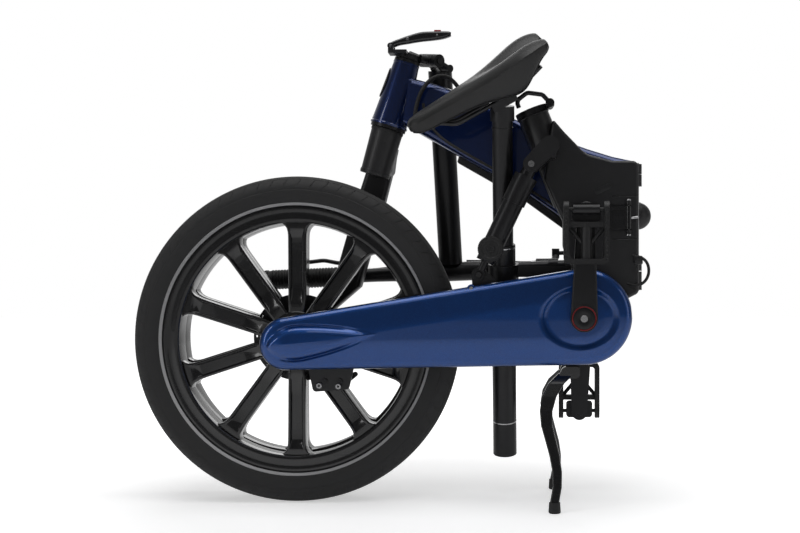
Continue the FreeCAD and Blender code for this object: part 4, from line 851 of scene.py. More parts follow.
# ------------------------------------------------------------------ wheels
@dataclass
class Wheel:
    """One wheel: tyre with its grey line, cast rim, ten channelled spokes and the hub."""

    prefix: str
    centre: Point
    disc_side: float = 1.0
    spokes: int = 10
    shoulder: tuple[tuple[float, float], ...] = (
        (16.4, 203.6), (16.4, 210.6), (18.4, 212.2), (21.8, 216.4), (24.9, 223.5), (27.0, 231.5),
        (27.3, 235.8), (26.6, 236.9), (26.9, 238.6), (25.9, 243.6), (23.2, 248.4), (19.4, 252.0),
        (17.3, 253.6), (16.7, 253.0), (16.0, 254.5), (11.5, 257.0), (8.3, 258.2), (7.7, 257.2),
        (7.0, 258.6), (0.0, 258.9))

    @property
    def body(self) -> str:
        """The moving body that carries the wheel."""
        return self.prefix + "_wheel"

    def build(self) -> None:
        """Make all the wheel's pieces."""
        self._tyre()
        self._rim()
        self._spokes()
        self._hub()

    def _ring(self, name: str, profile: Sequence[tuple[float, float]],
              finish: Finish) -> bpy.types.Object:
        """Turn a closed profile round the axle."""
        made = turned(name, profile, spot(*self.centre), Vector(Y_AXIS), 192)
        return paint(made, finish)

    def _tyre(self) -> None:
        """Carcass, grey lines and the sipes of both shoulders."""
        near = list(self.shoulder)
        far = [(-a, r) for a, r in reversed(near[:-1])]
        pieces = [self._ring("carcass", near + far, TYRE)]
        for side in (-1, 1):
            line = [(side * a, r) for a, r in ((18.6, 212.9), (19.2, 212.2), (22.3, 216.0),
                                               (21.7, 216.6))]
            pieces.append(self._ring("line", line, REFLECTIVE))
            pieces.append(self._sipes(side))
        tyre = joined(self.prefix + "_tyre_skin", pieces)
        fit_out(tyre, TYRE, self.body, (self.prefix + "_tyre",))

    def _sipes(self, side: int) -> bpy.types.Object:
        """Slanted ribs across one shoulder."""
        run = ((26.75, 239.6), (25.6, 244.9), (22.7, 249.5), (18.6, 253.2))
        rings = []
        for across, radius in run:
            lean = (radius - 239.6) * 0.55
            rings.append([Vector(((lean + dx) * MM, side * (across + dy) * MM,
                                  (radius + dy) * MM))
                          for dx, dy in ((-1.3, -0.6), (-0.8, 0.28), (0.8, 0.28), (1.3, -0.6))])
        return Repeater.repeat(shell("sipe", rings), 72, (0.0, 5.0, 0.0), Vector(STAY),
                               spot(*self.centre), TYRE)

    def _rim(self) -> None:
        """Deep rim with hooked flanges and a stepped inner face."""
        half = [(20.0, 190.5), (19.4, 187.0), (17.6, 185.2), (14.0, 184.6), (9.0, 184.0)]
        top = [(-8.0, 190.0), (-10.0, 202.0), (-16.9, 203.0), (-16.9, 209.2), (-18.2, 210.0),
               (-19.5, 209.3), (-20.0, 206.5), (-18.9, 203.0), (-18.9, 196.0), (-20.0, 192.5)]
        profile = ([(-a, r) for a, r in top] + half
                   + [(-a, r) for a, r in reversed(half)] + top[::-1])
        rim = self._ring(self.prefix + "_rim_skin", profile, GLOSS_BLACK)
        fit_out(rim, GLOSS_BLACK, self.body, (self.prefix + "_rim",))

    def _spokes(self) -> None:
        """Cast spokes with a channel in both faces."""
        stations = ((40.5, 13.0, 11.2, 0.0), (54.0, 13.2, 11.8, 0.0), (60.0, 13.3, 12.0, 0.6),
                    (65.0, 13.4, 12.0, 3.8), (90.0, 13.6, 12.0, 4.4), (130.0, 13.8, 12.0, 4.4),
                    (160.0, 14.0, 12.0, 4.4), (166.0, 14.2, 12.0, 3.8), (171.0, 14.8, 12.0, 0.6),
                    (176.0, 16.2, 12.0, 0.0), (180.5, 19.4, 12.0, 0.0), (184.2, 25.0, 12.0, 0.0))
        lip = ((0.0, 2.2, 0.0), (0.5, 0.7, 0.0), (1.9, 0.0, 0.0), (3.6, 0.0, 0.05),
               (4.8, 0.0, 0.7), (6.0, 0.0, 1.0))
        rings = []
        for radius, half, depth, channel in stations:
            left = [(-half + a, -depth + b + c * channel) for a, b, c in lip]
            near = left + [(-x, y) for x, y in reversed(left)]
            loop = near + [(x, -y) for x, y in reversed(near)]
            rings.append([Vector((x * MM, y * MM, radius * MM)) for x, y in loop])
        blades = Repeater.repeat(shell("spoke", rings), self.spokes,
                                 (0.0, 360.0 / self.spokes, 0.0), Vector(STAY),
                                 spot(*self.centre), GLOSS_BLACK)
        blades.name = self.prefix + "_spoke_skin"
        fit_out(blades, GLOSS_BLACK, self.body, (self.prefix + "_spokes",))

    def _hub(self) -> None:
        """Hub shell with a bolt circle."""
        profile = [(-24.4, 8.6), (-24.4, 27.2), (-20.4, 27.2), (-20.0, 30.0), (-18.0, 36.0),
                   (-14.5, 38.0), (-13.5, 42.4), (-11.5, 43.9), (11.5, 43.9), (13.5, 42.4),
                   (14.5, 38.0), (18.0, 36.0), (20.0, 30.0), (20.0, 8.6)]
        profile = [(a * self.disc_side, r) for a, r in profile]
        pieces = [self._ring("hub", profile, GLOSS_BLACK)]
        for side in (-1, 1):
            head = bar("bolt", Vector((0, side * 17.5 * MM, 33 * MM)),
                       Vector((0, side * 19.9 * MM, 33 * MM)), 2.6, steps=16)
            pieces.append(Repeater.repeat(head, 5, (0.0, 72.0, 0.0), Vector(STAY),
                                          spot(*self.centre), DARK_STEEL))
        hub = joined(self.prefix + "_hub_skin", pieces)
        fit_out(hub, GLOSS_BLACK, self.body, (self.prefix + "_hub",))


# ------------------------------------------------------------------ chaincase
@dataclass
class Chaincase:
    """Blue chaincase cover with its teardrop bulge and the dish round the crank."""

    outline: Capsule = Capsule((-170.0, 254.0), 41.0, (293.0, 296.0), 75.0)
    bulge: Leaf = Leaf((-198.0, 250.0), (-25.0, 270.5), 30.0)
    front: float = -74.0
    back: float = -40.2
    edge: float = 12.0
    swell: float = 1.5
    crown: float = 5.5
    crown_reach: float = 46.0
    bulge_height: float = 4.6
    slit_depth: float = 3.4
    dish_centre: tuple[float, float] = (286.0, 294.5)
    dish_size: tuple[float, float] = (63.0, 51.0)
    dish_depth: float = 4.2
    rows: int = 420
    columns: int = 92

    def build(self) -> None:
        """Make the cover and its small fittings."""
        self._cover()
        self._fittings()

    def _depth(self, x: float, z: float) -> float:
        """Place across of the cover's face at one spot of the side view."""
        inside = -self.outline.outside(x, z)
        fall = max(0.0, self.edge - inside)
        y = self.front + self.edge - math.sqrt(max(self.edge ** 2 - fall ** 2, 0.0))
        y += self.crown * (1.0 - ramp(inside, 2.0, self.crown_reach)) - self.swell
        deep, along = self.bulge.inside(x, z)
        y -= self.bulge_height * ramp(deep, 0.0, 15.0)
        slit = ramp(along, 0.06, 0.24) * (1.0 - ramp(along, 0.62, 0.9))
        y += self.slit_depth * slit * (ramp(deep, -0.8, 2.0) - ramp(deep, 2.4, 7.5))
        span = math.hypot((x - self.dish_centre[0]) / self.dish_size[0],
                          (z - self.dish_centre[1]) / self.dish_size[1])
        y += self.dish_depth * (1.0 - ramp(span, 0.8, 1.0))
        return y

    def _cover(self) -> None:
        """Dense skin whose grid follows the outline."""
        start, end = -self.outline.tail_radius, self.outline.length + self.outline.head_radius
        rings = []
        for row in range(1, self.rows):
            turn = math.pi * row / self.rows
            share = 0.35 * (1.0 - math.cos(turn)) / 2.0 + 0.65 * row / self.rows
            along = start + (end - start) * share
            half = self.outline.half_width(along)
            ring = []
            for column in range(self.columns + 1):
                part = 2.0 * column / self.columns - 1.0
                part = 0.55 * part + 0.45 * math.sin(part * math.pi / 2.0)
                x, z = self.outline.place(along, half * part)
                ring.append(spot(x, self._depth(x, z), z))
            for part in (1.0, 0.5, 0.0, -0.5, -1.0):
                x, z = self.outline.place(along, half * part)
                ring.append(spot(x, self.back, z))
            rings.append(ring)
        cover = shell("chaincase_cover_skin", rings)
        fit_out(cover, BLUE, "swingarm", ("chaincase_cover",), Shade.SMOOTH)

    def _fittings(self) -> None:
        """Bolt boss on the top edge and the two bolts of the caliper's tab."""
        boss = paint(bar("boss", spot(118, -66, 340), spot(118, -42, 340), 6.4), BLUE)
        cap = paint(bar("cap", spot(118, -67.5, 340), spot(118, -65.8, 340), 3.4, steps=6), STEEL)
        fit_out(joined("case_top_boss", [boss, cap]), BLUE, "swingarm")
        pieces = []
        for x, z in ((-122.0, 187.0), (-92.0, 186.0)):
            pieces.append(paint(bar("bolt", spot(x, -43, z), spot(x, -37, z), 4.4), STEEL))
            pieces.append(paint(bar("hex", spot(x, -43.4, z), spot(x, -42.8, z), 2.2, steps=6),
                                CASTING))
        fit_out(joined("caliper_bolts", pieces), STEEL, "swingarm")


# ------------------------------------------------------------------ drive
@dataclass
class Drive:
    """Fittings of the cranks and pedals."""

    arm_face: float = 107.0
    arm_length: float = 165.0
    arm_lean: float = math.radians(1.0)

    def build(self) -> None:
        """Make the crank bolts and the pedal teeth."""
        self._crank_ends()
        self._pedal_teeth()

    def _crank_ends(self) -> None:
        """Black boss, red ring and bright bolt on both crank arms."""
        x, z = CRANK
        for side, name in ((-1, "crank_end_right"), (1, "crank_end_left")):
            face = side * self.arm_face
            centre = spot(x, face, z)
            out = Vector((0.0, side, 0.0))
            black = turned("boss", [(0.0, 0.0), (0.0, 20.6), (1.6, 20.6), (2.2, 20.0),
                                    (2.2, 19.0), (0.9, 18.8), (0.9, 16.6), (3.0, 16.2),
                                    (3.6, 14.0), (3.8, 8.0), (3.4, 7.0), (3.4, 0.0)],
                           centre, out, closed=False)
            red = turned("ring", [(0.7, 16.9), (1.7, 17.2), (1.9, 17.8), (1.7, 18.4),
                                  (0.7, 18.7)], centre, out)
            bolt = bar("bolt", centre + out * (3.3 * MM), centre + out * (4.4 * MM), 5.6)
            pieces = [paint(black, ANODISED), paint(red, RED), paint(bolt, STEEL)]
            fit_out(joined(name, pieces), ANODISED, "crankset")

    def _pedal_teeth(self) -> None:
        """Rows of grip teeth on the long sides of both pedals."""
        for side, sign, name in ((-1, 1, "right"), (1, -1, "left")):
            eye_x = CRANK[0] + sign * self.arm_length * math.sin(self.arm_lean)
            eye_z = CRANK[1] + sign * self.arm_length * math.cos(self.arm_lean)
            rows = []
            for edge in (-30.6, 30.6):
                tooth = block("tooth", Vector((-1.6 * MM, -0.8 * MM, -1.9 * MM)),
                              Vector((1.6 * MM, 0.8 * MM, 1.9 * MM)), 0.5, 1)
                for_row = spot(eye_x + edge, side * (self.arm_face + 26.8), eye_z - sign * 76.0)
                rows.append(Repeater.repeat(tooth, 12, (0, 0, 0),
                                            Vector((0, 0, sign * 6.4 * MM)), for_row, PLASTIC))
            fit_out(joined("pedal_teeth_" + name, rows), PLASTIC, name + "_pedal")


# ------------------------------------------------------------------ rear frame
@dataclass
class RearFrame:
    """Small fittings of the cast rear half."""

    near: float = -30.5

    def build(self) -> None:
        """Make the plate, the hinge fittings and the cable loop."""
        self._plain_plate()
        self._hinge_fittings()
        self._cable_loop()
        self._strut_knurl()
        self._seat_tube_lip()

    def _plain_plate(self) -> None:
        """Bare raised plate on the near face."""
        slant = math.radians(25.0)
        corners = []
        for a, b in rounded_loop((-14.0, -4.4), (14.0, 4.4), 4.3, 8):
            corners.append((323.0 + a * math.cos(slant) - b * math.sin(slant),
                            496.0 + a * math.sin(slant) + b * math.cos(slant)))
        badge = plate("bare_plate", corners, self.near - 0.9, self.near + 0.2, 0.5)
        fit_out(badge, CASTING, "rear_frame")

    def _hinge_fittings(self) -> None:
        """Bright bits of the latch and the seam bands of its bay."""
        pieces = []
        for low, high in ((477.0, 480.0), (422.0, 425.0)):
            pieces.append(paint(bar("nut", spot(364, -33.5, low), spot(364, -33.5, high), 4.0),
                                STEEL))
        for z in (441.0, 461.0):
            pieces.append(paint(block("clip", spot(361, -35.2, z - 3), spot(368, -31, z + 3), 0.8),
                                STEEL))
        pieces.append(paint(bar("pull", spot(367, -32.6, 450), spot(379, -32.0, 452), 2.0), STEEL))
        for z in (485.0, 417.0):
            pieces.append(paint(block("band", spot(338, -31.2, z - 0.8), spot(378, -30.3, z + 0.8),
                                      0.3), GLOSS_BLACK))
        fit_out(joined("latch_fittings", pieces), STEEL, "rear_frame")

    def _cable_loop(self) -> None:
        """Short cable loop beside the mating face and the clip that holds it."""
        route = [spot(x, y, z) for x, y, z in (
            (370, -30, 391), (382, -34, 390), (394, -36, 380), (396, -36, 362), (388, -35, 348),
            (374, -33, 343), (362, -30, 347))]
        loop = paint(tube("loop", route, 2.4), RUBBER)
        clip = paint(block("clip", spot(372, -36.4, 377), spot(386, -30.4, 391), 2.4), PLASTIC)
        fit_out(joined("rear_cable_loop", [loop, clip]), RUBBER, "rear_frame")

    def _strut_knurl(self) -> None:
        """Knurled rim and dished face of the strut's adjuster."""
        top, foot = Vector(STRUT_TOP), Vector(STRUT_FOOT)
        centre = top + (foot - top).normalized() * 146.0
        face = centre.y - 19.0
        ridge = block("ridge", Vector((-0.7 * MM, -1.3 * MM, 19.2 * MM)),
                      Vector((0.7 * MM, 1.3 * MM, 20.5 * MM)), 0.3, 1)
        rim = Repeater.repeat(ridge, 48, (0.0, 7.5, 0.0), Vector(STAY),
                              spot(centre.x, face + 1.4, centre.z), PLASTIC)
        cap = turned("cap", [(0.0, 19.4), (-0.9, 18.6), (-0.9, 14.5), (-0.2, 13.6), (-0.2, 6.5),
                             (-1.4, 6.0), (-1.4, 0.0)], spot(centre.x, face, centre.z),
                     Vector(Y_AXIS), 64, closed=False)
        socket = bar("socket", spot(centre.x, face - 1.7, centre.z),
                     spot(centre.x, face - 1.2, centre.z), 3.0, steps=6)
        pieces = [rim, paint(cap, PLASTIC), paint(socket, DARK_STEEL)]
        fit_out(joined("strut_knob_skin", pieces), PLASTIC, "shock")

    def _seat_tube_lip(self) -> None:
        """Rolled lip at the seat tube's mouth."""
        axis = Vector((-math.sin(SEAT_LEAN), 0.0, math.cos(SEAT_LEAN)))
        mouth = spot(*SEAT_MOUTH)
        lip = turned("seat_tube_lip", [(-3.4, 24.9), (-2.4, 25.9), (-1.2, 25.9), (-0.3, 25.0)],
                     mouth, axis, 96)
        fit_out(lip, CASTING, "rear_frame")


# ------------------------------------------------------------------ seat
@dataclass
class Seat:
    """Saddle cover, its seams, and the seams of the post."""

    lean: float = math.radians(13.0)
    turn: float = 8.0
    tilt: float = -28.0
    roll: float = 4.0

    def build(self) -> None:
        """Make the saddle and the post's fittings."""
        self._saddle()
        self._post()

    def _post_point(self, height: float) -> Vector:
        """Point on the post's axis in millimetres."""
        return Vector((165.0, -9.5 + (480.0 - height) * math.tan(self.lean), height))

    @property
    def _axis(self) -> Vector:
        """Direction up the post."""
        return Vector((0.0, -math.sin(self.lean), math.cos(self.lean)))

    def _frame(self) -> Matrix:
        """The saddle's own frame: origin below the nose, X to the tail."""
        turned_by = (Matrix.Rotation(self.lean, 4, "X")
                     @ Matrix.Rotation(math.radians(self.turn), 4, "Z")
                     @ Matrix.Rotation(math.radians(self.tilt), 4, "Y"))
        clamp = self._post_point(63.0) + self._axis * 586.0
        origin = clamp - turned_by @ Vector((150.0, 0.0, 0.0))
        return Matrix.Translation(origin) @ turned_by

    def _saddle(self) -> None:
        """Padded cover with a hard edge underneath."""
        stations = ((1.5, 9, 37, 9), (5.0, 14, 41.5, 16), (12.0, 18.5, 44.5, 23),
                    (26.0, 21.5, 46.5, 28), (48.0, 23.5, 48, 30), (74.0, 27, 49.5, 32),
                    (100.0, 33, 51, 34), (128.0, 42, 53, 38), (156.0, 53.5, 57, 48),
                    (182.0, 64, 62, 55), (202.0, 70, 66, 47), (219.0, 71.6, 68, 36),
                    (232.0, 70.0, 67, 27), (243.0, 66.0, 64, 20), (249.5, 60.0, 60, 10))
        rings = [self._section(*row) for row in through(stations, 4)]
        frame = self._frame() @ Matrix.Rotation(math.radians(self.roll), 4, "X")
        placed = [[spot(*(frame @ p)) for p in ring] for ring in rings]
        saddle = soften(shell("saddle_cover", placed), 0.0, subdivide=1)
        fit_out(saddle, SADDLE_SKIN, "seat", ("saddle",), Shade.SMOOTH)
        hems = [ring[33] for ring in rings[3:]] + [ring[41] for ring in reversed(rings[3:])]
        seam = tube("saddle_seam", [spot(*(frame @ p)) for p in hems[::2]], 1.0, 4, 3)
        fit_out(seam, RUBBER, "seat", shade=Shade.SMOOTH)

    @staticmethod
    def _section(x: float, half: float, top: float, deep: float) -> list[Vector]:
        """One slice of the saddle: two ridges, a valley between and flanks that hang."""
        wings = ramp(x, 110.0, 235.0)
        under = min(26.0 * ramp(x, -10.0, 60.0), deep * 0.9)
        points = []
        steps = 28
        for step in range(steps + 1):
            across = math.sin((step / steps - 0.5) * math.pi)
            crown = 0.36 * min(deep, 34.0) * abs(across) ** 3.6
            dip = 17.0 * wings * math.exp(-(across / 0.36) ** 2)
            points.append(Vector((x, half * across, top - crown - dip)))
        flank = ((1.0, 0.42), (0.995, 0.62), (0.975, 0.8), (0.93, 0.94), (0.87, 1.0),
                 (0.8, 0.96))
        below = [(share, deep * fall) for share, fall in flank]
        below += [(0.7, 0.35 * deep + 0.5 * under), (0.45, under), (0.0, under)]
        points += [Vector((x, half * share, top - fall)) for share, fall in below]
        points += [Vector((x, -half * share, top - fall)) for share, fall in below[-2::-1]]
        return points

    def _post(self) -> None:
        """Collar and seams of the two-part post."""
        bands = ((609.0, 17.6, 4.0, ANODISED), (592.0, 17.0, 1.2, ANODISED),
                 (119.0, 19.75, 1.1, STEEL), (405.0, 19.8, 1.1, STEEL))
        pieces = [self._band(*band) for band in bands]
        fit_out(joined("post_bands", pieces), ANODISED, "seat")

    def _band(self, height: float, radius: float, wide: float,
              finish: Finish) -> bpy.types.Object:
        """Thin raised band round the post."""
        profile = [(-wide, radius - 1.2), (-wide, radius - 0.3), (0.3 - wide, radius),
                   (wide - 0.3, radius), (wide, radius - 0.3), (wide, radius - 1.2)]
        place = spot(*self._post_point(height))
        return paint(turned("band", profile, place, self._axis, 64), finish)


# ------------------------------------------------------------------ front frame
@dataclass
class FrontFrame:
    """Badge, rims, hose, and a dark tube painted in as the shade of the side channel, on the blue
    front half.
    """


    def build(self) -> None:
        """Make the front half's fittings."""
        self._head_tube()
        self._channel_shade()
        self._hose()

    def _along(self, distance: float) -> Vector:
        """Point on the steering axis in millimetres."""
        axis = Vector((math.sin(HEAD_LEAN), 0.0, math.cos(HEAD_LEAN)))
        return Vector(HEAD_MIDDLE) + axis * distance

    def _head_tube(self) -> None:
        """Rims at both ends of the head tube and its bare badge."""
        axis = self._along(1.0) - self._along(0.0)
        centre = spot(*HEAD_MIDDLE)
        rims = [paint(turned("rim", [(-54.0, 29.0), (-54.0, 30.6), (-51.0, 30.9), (-49.6, 29.4)],
                             centre, axis, 96), DEEP_BLUE),
                paint(turned("rim", [(50.5, 20.8), (51.2, 21.9), (53.8, 21.7), (54.0, 20.0)],
                             centre, axis, 96), DEEP_BLUE)]
        fit_out(joined("head_tube_rims", rims), DEEP_BLUE, "front_half")
        rings = []
        for row in range(17):
            share = 2.0 * row / 16 - 1.0
            reach = 14.0 + 25.0 * share
            wide = 0.52 * math.sqrt(max(1.0 - share ** 2, 0.0)) + 0.02
            radius = 25.5 - (reach / 108.0) * 9.0 + 0.6
            ring = []
            for column in range(13):
                angle = math.pi + wide * (2.0 * column / 12 - 1.0)
                ring.append(self._skin(reach, angle, radius + 1.5))
            ring += [self._skin(reach, math.pi + wide * (1.0 - 2.0 * c / 12), radius - 2.5)
                     for c in range(13)]
            rings.append(ring)
        fit_out(shell("head_badge", rings), CASTING, "front_half")

    def _skin(self, reach: float, angle: float, radius: float) -> Vector:
        """Point round the head tube, with angle 0 to the rear of the front half."""
        out = Vector((math.cos(HEAD_LEAN), 0.0, -math.sin(HEAD_LEAN)))
        place = (self._along(reach) + out * (radius * math.cos(angle))
                 + Vector((0.0, radius * math.sin(angle), 0.0)))
        return spot(*place)

    def _channel_shade(self) -> None:
        """Painted shade of the side channel: a dark tube in the black rubber finish that curves
        down the near face and follows the lower edge.
        """
        route = [(33, 39.6, 640), (36, 39.2, 622), (46, 38.8, 600), (66, 38.0, 580),
                 (96, 37.2, 562), (140, 36.0, 537), (200, 35.0, 504), (260, 34.2, 464),
                 (320, 33.6, 420), (362, 33.3, 386)]
        line = tube("channel", [spot(*p) for p in route], 2.3, 4)
        # painted shade: this dark tube stands for the shade in the channel's groove, not for a
        # rubber part
        fit_out(line, RUBBER, "front_half", shade=Shade.SMOOTH)

    def _hose(self) -> None:
        """Cable sleeve that loops from the head tube into the main tube."""
        route = [(19, 31, 594), (20, 29, 616), (24, 27, 642), (36, 26, 668), (56, 31, 686),
                 (78, 44, 684), (90, 54, 668), (97, 59, 656)]
        hose = tube("head_hose_skin", [spot(*p) for p in route], 3.4, 4)
        fit_out(hose, RUBBER, "front_half", ("head_hose",), Shade.SMOOTH)


# ------------------------------------------------------------------ steering
@dataclass
class Steering:
    """Latch lever, boot rims, handlebar, grips and lever fittings."""

    bar_axis: Vector = field(default_factory=lambda: Vector((0.999, 0.0, 0.0454)).normalized())
    half: float = 318.0
    grip: float = 122.0
    reach: float = 210.0

    def build(self) -> None:
        """Make the steering's visible pieces."""
        self._latch()
        self._boot()
        self._handlebar()
        self._grips()
        self._lever_fittings()

    @property
    def centre(self) -> Vector:
        """Middle of the handlebar in millimetres."""
        rough = Vector((0.045, 0.13, -0.9905))
        down = (rough - self.bar_axis * rough.dot(self.bar_axis)).normalized()
        return Vector(STEM_FOLD_PIN) + down * self.reach

    def _latch(self) -> None:
        """Moulded latch lever with its pin and bright rivet."""
        stations = ((-22.4, 729.8, 732.6, 4.6), (-21.6, 728.6, 735.8, 6.4),
                    (-15.0, 729.6, 739.6, 7.0), (-4.0, 733.4, 743.8, 7.0),
                    (10.0, 735.8, 748.8, 7.0),
                    (30.0, 739.2, 754.4, 7.0), (50.0, 741.2, 755.6, 7.0), (66.0, 743.6, 755.9, 7.0),
                    (76.0, 746.6, 755.6, 6.4), (79.6, 748.6, 754.2, 4.6))
        rings = []
        for x, low, high, half in through(stations, 5):
            loop = rounded_loop((33.0 - half, low), (33.0 + half, high), 4.2, 5)
            rings.append([spot(x, y, z) for y, z in loop])
        lever = paint(shell("lever", rings), GLOSS_BLACK)
        rivets = [paint(bar("rivet", spot(x, 25.4, z), spot(x, 27, z), r, steps=20), STEEL)
                  for x, z, r in ((9.0, 742.5, 2.4), (57.0, 748.5, 1.8))]
        x, z = STEM_LATCH_PIN
        pin = paint(bar("pin", spot(x, 20.4, z), spot(x, 45.6, z), 2.1), STEEL)
        fit_out(joined("stem_latch_skin", [lever, pin] + rivets), GLOSS_BLACK, "stem_latch",
                ("stem_latch_lever",))

    def _boot(self) -> None:
        """Rolled rims and a plug on the fork's crown."""
        axis = Vector((math.sin(HEAD_LEAN), 0.0, math.cos(HEAD_LEAN)))
        top = Vector(HEAD_MIDDLE) - axis * 60.0
        pieces = [paint(turned("rim", [(0.0, 24.0), (0.0, 26.4), (-2.0, 27.0), (-4.6, 26.4),
                                       (-4.6, 24.0)], spot(*top), axis, 96), RUBBER),
                  paint(turned("rim", [(-78.0, 22.0), (-78.0, 24.4), (-75.0, 25.2),
                                       (-71.0, 24.8), (-70.0, 22.0)], spot(*top), axis, 96),
                        CASTING)]
        plug = top - axis * 26.0 + Vector((4.0, -23.8, 0.0))
        pieces.append(paint(bar("plug", spot(*(plug - Vector((0, 1.6, 0)))), spot(*plug), 2.6),
                            PLASTIC))
        fit_out(joined("fork_boot_rims", pieces), CASTING, "steering")

    def _handlebar(self) -> None:
        """Bar that swells to its clamp in the middle."""
        side = [(0.0, 16.4), (34.0, 16.4), (44.0, 15.9), (70.0, 14.2), (100.0, 12.2),
                (130.0, 11.5), (self.half - 2.0, 11.5), (self.half, 10.2), (self.half, 0.0)]
        profile = [(-a, r) for a, r in reversed(side[1:])] + side
        made = turned("handlebar_skin", profile, spot(*self.centre), self.bar_axis, 64,
                      closed=False)
        fit_out(made, ANODISED, "handlebar_stem", ("handlebar",))

    def _grips(self) -> None:
        """Ribbed grips with end collars."""
        profile = [(0.0, 11.9), (0.0, 16.4), (1.0, 16.9), (4.0, 16.9), (5.0, 15.6)]
        count = 21
        for rib in range(count):
            start = 7.0 + rib * (self.grip - 16.0) / count
            profile += [(start, 15.6), (start + 0.9, 16.8), (start + 2.9, 16.8),
                        (start + 3.8, 15.6)]
        profile += [(self.grip - 5.0, 15.6), (self.grip - 4.0, 16.9), (self.grip, 16.9),
                    (self.grip + 3.0, 16.2), (self.grip + 4.0, 14.6), (self.grip + 4.0, 11.9)]
        pieces = []
        for sign in (-1, 1):
            inner = self.centre + self.bar_axis * sign * (self.half - self.grip)
            pieces.append(paint(turned("grip", profile, spot(*inner), self.bar_axis * sign, 64),
                                RUBBER))
            end = self.centre + self.bar_axis * sign * (self.half + 3.6)
            pieces.append(paint(bar("plug", spot(*(end - self.bar_axis * sign * 3.0)),
                                    spot(*end), 12.6), PLASTIC))
        fit_out(joined("grips_skin", pieces), RUBBER, "handlebar_stem", ("grips",))

    def _lever_fittings(self) -> None:
        """Reservoirs, hose ends and clamp bolts beside the brake levers."""
        pieces = []
        for sign in (-1, 1):
            clamp = self.centre + self.bar_axis * sign * (self.half - self.grip - 20.0)
            body = clamp - self.bar_axis * sign * 14.0 + Vector((0, 13, 10))
            pieces.append(paint(bar("reservoir", spot(*(body - self.bar_axis * sign * 16.0)),
                                    spot(*(body + self.bar_axis * sign * 14.0)), 6.2, 5.0),
                                PLASTIC))
            tip = body - self.bar_axis * sign * 16.0
            pieces.append(paint(bar("fitting", spot(*tip), spot(*(tip - self.bar_axis * sign
                                                                  * 9.0)), 3.4, 2.8), STEEL))
            route = [tip - self.bar_axis * sign * 8.0, tip - self.bar_axis * sign * 24.0,
                     tip - self.bar_axis * sign * 46.0 + Vector((0, 0, 3)),
                     self.centre + self.bar_axis * sign * 46.0 + Vector((0, 6, 16)),
                     self.centre + self.bar_axis * sign * 26.0 + Vector((0, 4, 17))]
            pieces.append(paint(tube("hose", [spot(*p) for p in route], 2.4, 4), RUBBER))
            pieces.append(paint(bar("bolt", spot(*(clamp + Vector((0, -10, -16)))),
                                    spot(*(clamp + Vector((0, -10, -11)))), 2.6, steps=6),
                                STEEL))
        fit_out(joined("lever_fittings", pieces), PLASTIC, "handlebar_stem")


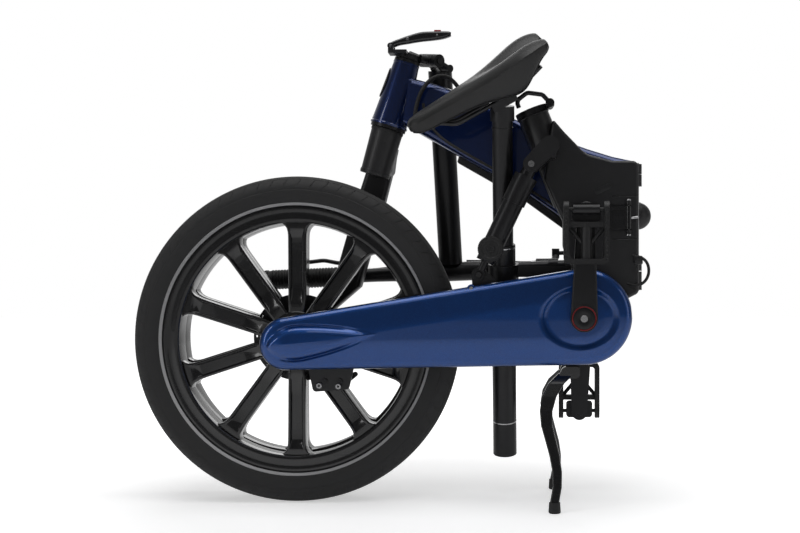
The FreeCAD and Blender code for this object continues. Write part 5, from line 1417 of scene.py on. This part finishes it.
# ------------------------------------------------------------------ studio
@dataclass
class Studio:
    """Floor, lamps, surrounding light and the camera."""

    eye: Point = (240.0, -2040.0, 374.0)
    focal_mm: float = 57.4
    shift_x: float = -0.1875
    shift_y: float = 0.0
    floor_size: float = 14.0
    grey_reach: float = 0.35
    fade: float = 0.75
    near_glow: float = 0.5
    floor_in_metal: float = 0.25
    air_in_metal: float = 0.1
    back_in_metal: float = 0.42
    least_in_metal: float = 0.06
    air_light: float = 0.10
    lamps: tuple[tuple[str, Point, Point, float, float, float], ...] = (
        ("top softbox", (0.1, -0.3, 2.6), (0.1, 0.0, 0.3), 2.6, 1.6, 30.0),
        ("left softbox", (-2.4, -1.9, 1.1), (0.0, 0.0, 0.5), 0.5, 1.9, 11.0),
        ("right softbox", (2.7, -1.4, 1.0), (0.1, 0.0, 0.4), 1.0, 1.8, 5.0),
        ("front fill", (0.0, -2.2, 3.2), (0.0, 0.0, 0.3), 2.0, 0.8, 6.0),
        ("back rim", (0.2, 2.6, 1.7), (0.1, 0.0, 0.4), 2.4, 1.2, 14.0))

    def build(self) -> None:
        """Make the whole studio."""
        self._floor()
        self._world()
        self._camera()
        for lamp in self.lamps:
            self._lamp(*lamp)

    def _floor(self) -> None:
        """Pale floor that turns white for the camera and keeps its shadow."""
        mesh = bpy.data.meshes.new("floor")
        half = self.floor_size / 2
        mesh.from_pydata([(-half, -half, 0), (half, -half, 0), (half, half, 0),
                          (-half, half, 0)], [], [(0, 1, 2, 3)])
        floor = bpy.data.objects.new("floor", mesh)
        bpy.context.scene.collection.objects.link(floor)
        made = bpy.data.materials.new("studio floor")
        made.use_nodes = True
        bench = NodeBench(made.node_tree)
        shader = made.node_tree.nodes["Principled BSDF"]
        shader.inputs["Base Color"].default_value = (0.84, 0.84, 0.845, 1.0)
        shader.inputs["Roughness"].default_value = 0.8
        shader.inputs["Emission Color"].default_value = (1.0, 1.0, 1.0, 1.0)
        path = bench.add("ShaderNodeLightPath")
        place = bench.add("ShaderNodeTexCoord").outputs["Object"]
        reach = bench.add("ShaderNodeVectorMath", operation="LENGTH")
        bench.join(place, reach.inputs[0])
        near = bench.math("SUBTRACT", reach.outputs["Value"], self.grey_reach)
        near = bench.math("MAXIMUM", bench.math("DIVIDE", near, self.fade), 0.0)
        near = bench.math("MINIMUM", near, 1.0)
        glow = bench.math("MULTIPLY_ADD", near, 1.0 - self.near_glow, self.near_glow)
        seen = bench.math("MULTIPLY", path.outputs["Is Camera Ray"], glow)
        seen = bench.math("MAXIMUM", seen, bench.math(
            "MULTIPLY", path.outputs["Is Glossy Ray"], self.floor_in_metal))
        bench.join(seen, shader.inputs["Emission Strength"])
        mesh.materials.append(made)

    def _world(self) -> None:
        """Soft surrounding light, white where it is looked at."""
        world = bpy.data.worlds.new("studio air")
        world.use_nodes = True
        bench = NodeBench(world.node_tree)
        shade = world.node_tree.nodes["Background"]
        path = bench.add("ShaderNodeLightPath")
        seen = bench.math("MAXIMUM", path.outputs["Is Camera Ray"],
                          path.outputs["Is Transmission Ray"])
        heading = bench.add("ShaderNodeSeparateXYZ")
        bench.join(bench.add("ShaderNodeTexCoord").outputs["Generated"], heading.inputs[0])
        behind = bench.math("MULTIPLY_ADD", heading.outputs["Y"], self.back_in_metal,
                            self.air_in_metal)
        behind = bench.math("MAXIMUM", behind, self.least_in_metal)
        seen = bench.math("MAXIMUM", seen, bench.math(
            "MULTIPLY", path.outputs["Is Glossy Ray"], behind))
        strength = bench.math("MAXIMUM", seen, self.air_light)
        bench.join(strength, shade.inputs["Strength"])
        shade.inputs["Color"].default_value = (1.0, 1.0, 1.0, 1.0)
        bpy.context.scene.world = world

    def _camera(self) -> None:
        """Level camera with the standing shift of the view."""
        data = bpy.data.cameras.new("camera")
        data.lens = self.focal_mm
        data.sensor_width = 36.0
        data.shift_x = self.shift_x
        data.shift_y = self.shift_y
        data.clip_end = 60.0
        camera = bpy.data.objects.new("camera", data)
        camera.location = spot(*self.eye)
        camera.rotation_euler = (math.radians(90.0), 0.0, 0.0)
        bpy.context.scene.collection.objects.link(camera)
        bpy.context.scene.camera = camera

    @staticmethod
    def _lamp(name: str, place: Point, aim: Point, wide: float, high: float,
              watts: float) -> None:
        """Add one soft rectangular lamp.

        Args:
            name: The lamp's name.
            place: Where it stands, in metres.
            aim: What it looks at, in metres.
            wide: Its width in metres.
            high: Its height in metres.
            watts: Its power.
        """
        data = bpy.data.lights.new(name, "AREA")
        data.shape = "RECTANGLE"
        data.size = wide
        data.size_y = high
        data.energy = watts
        lamp = bpy.data.objects.new(name, data)
        lamp.location = place
        heading = Vector(aim) - Vector(place)
        lamp.rotation_euler = heading.to_track_quat("-Z", "Y").to_euler()
        bpy.context.scene.collection.objects.link(lamp)


def main() -> None:
    """Build the looks in order."""
    logging.basicConfig(level=logging.INFO, format="%(message)s")
    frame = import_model()
    NodeFinishes().dress(frame["nodes"])
    parts = [Wheel("rear", REAR_AXLE), Wheel("front", FRONT_AXLE, -1.0),
             Chaincase(), Drive(), RearFrame(), Seat(), FrontFrame(), Steering()]
    for part in parts:
        part.build()
    Studio().build()
    scene = bpy.context.scene
    scene.view_settings.view_transform = "Standard"


if __name__ == "__main__":
    main()
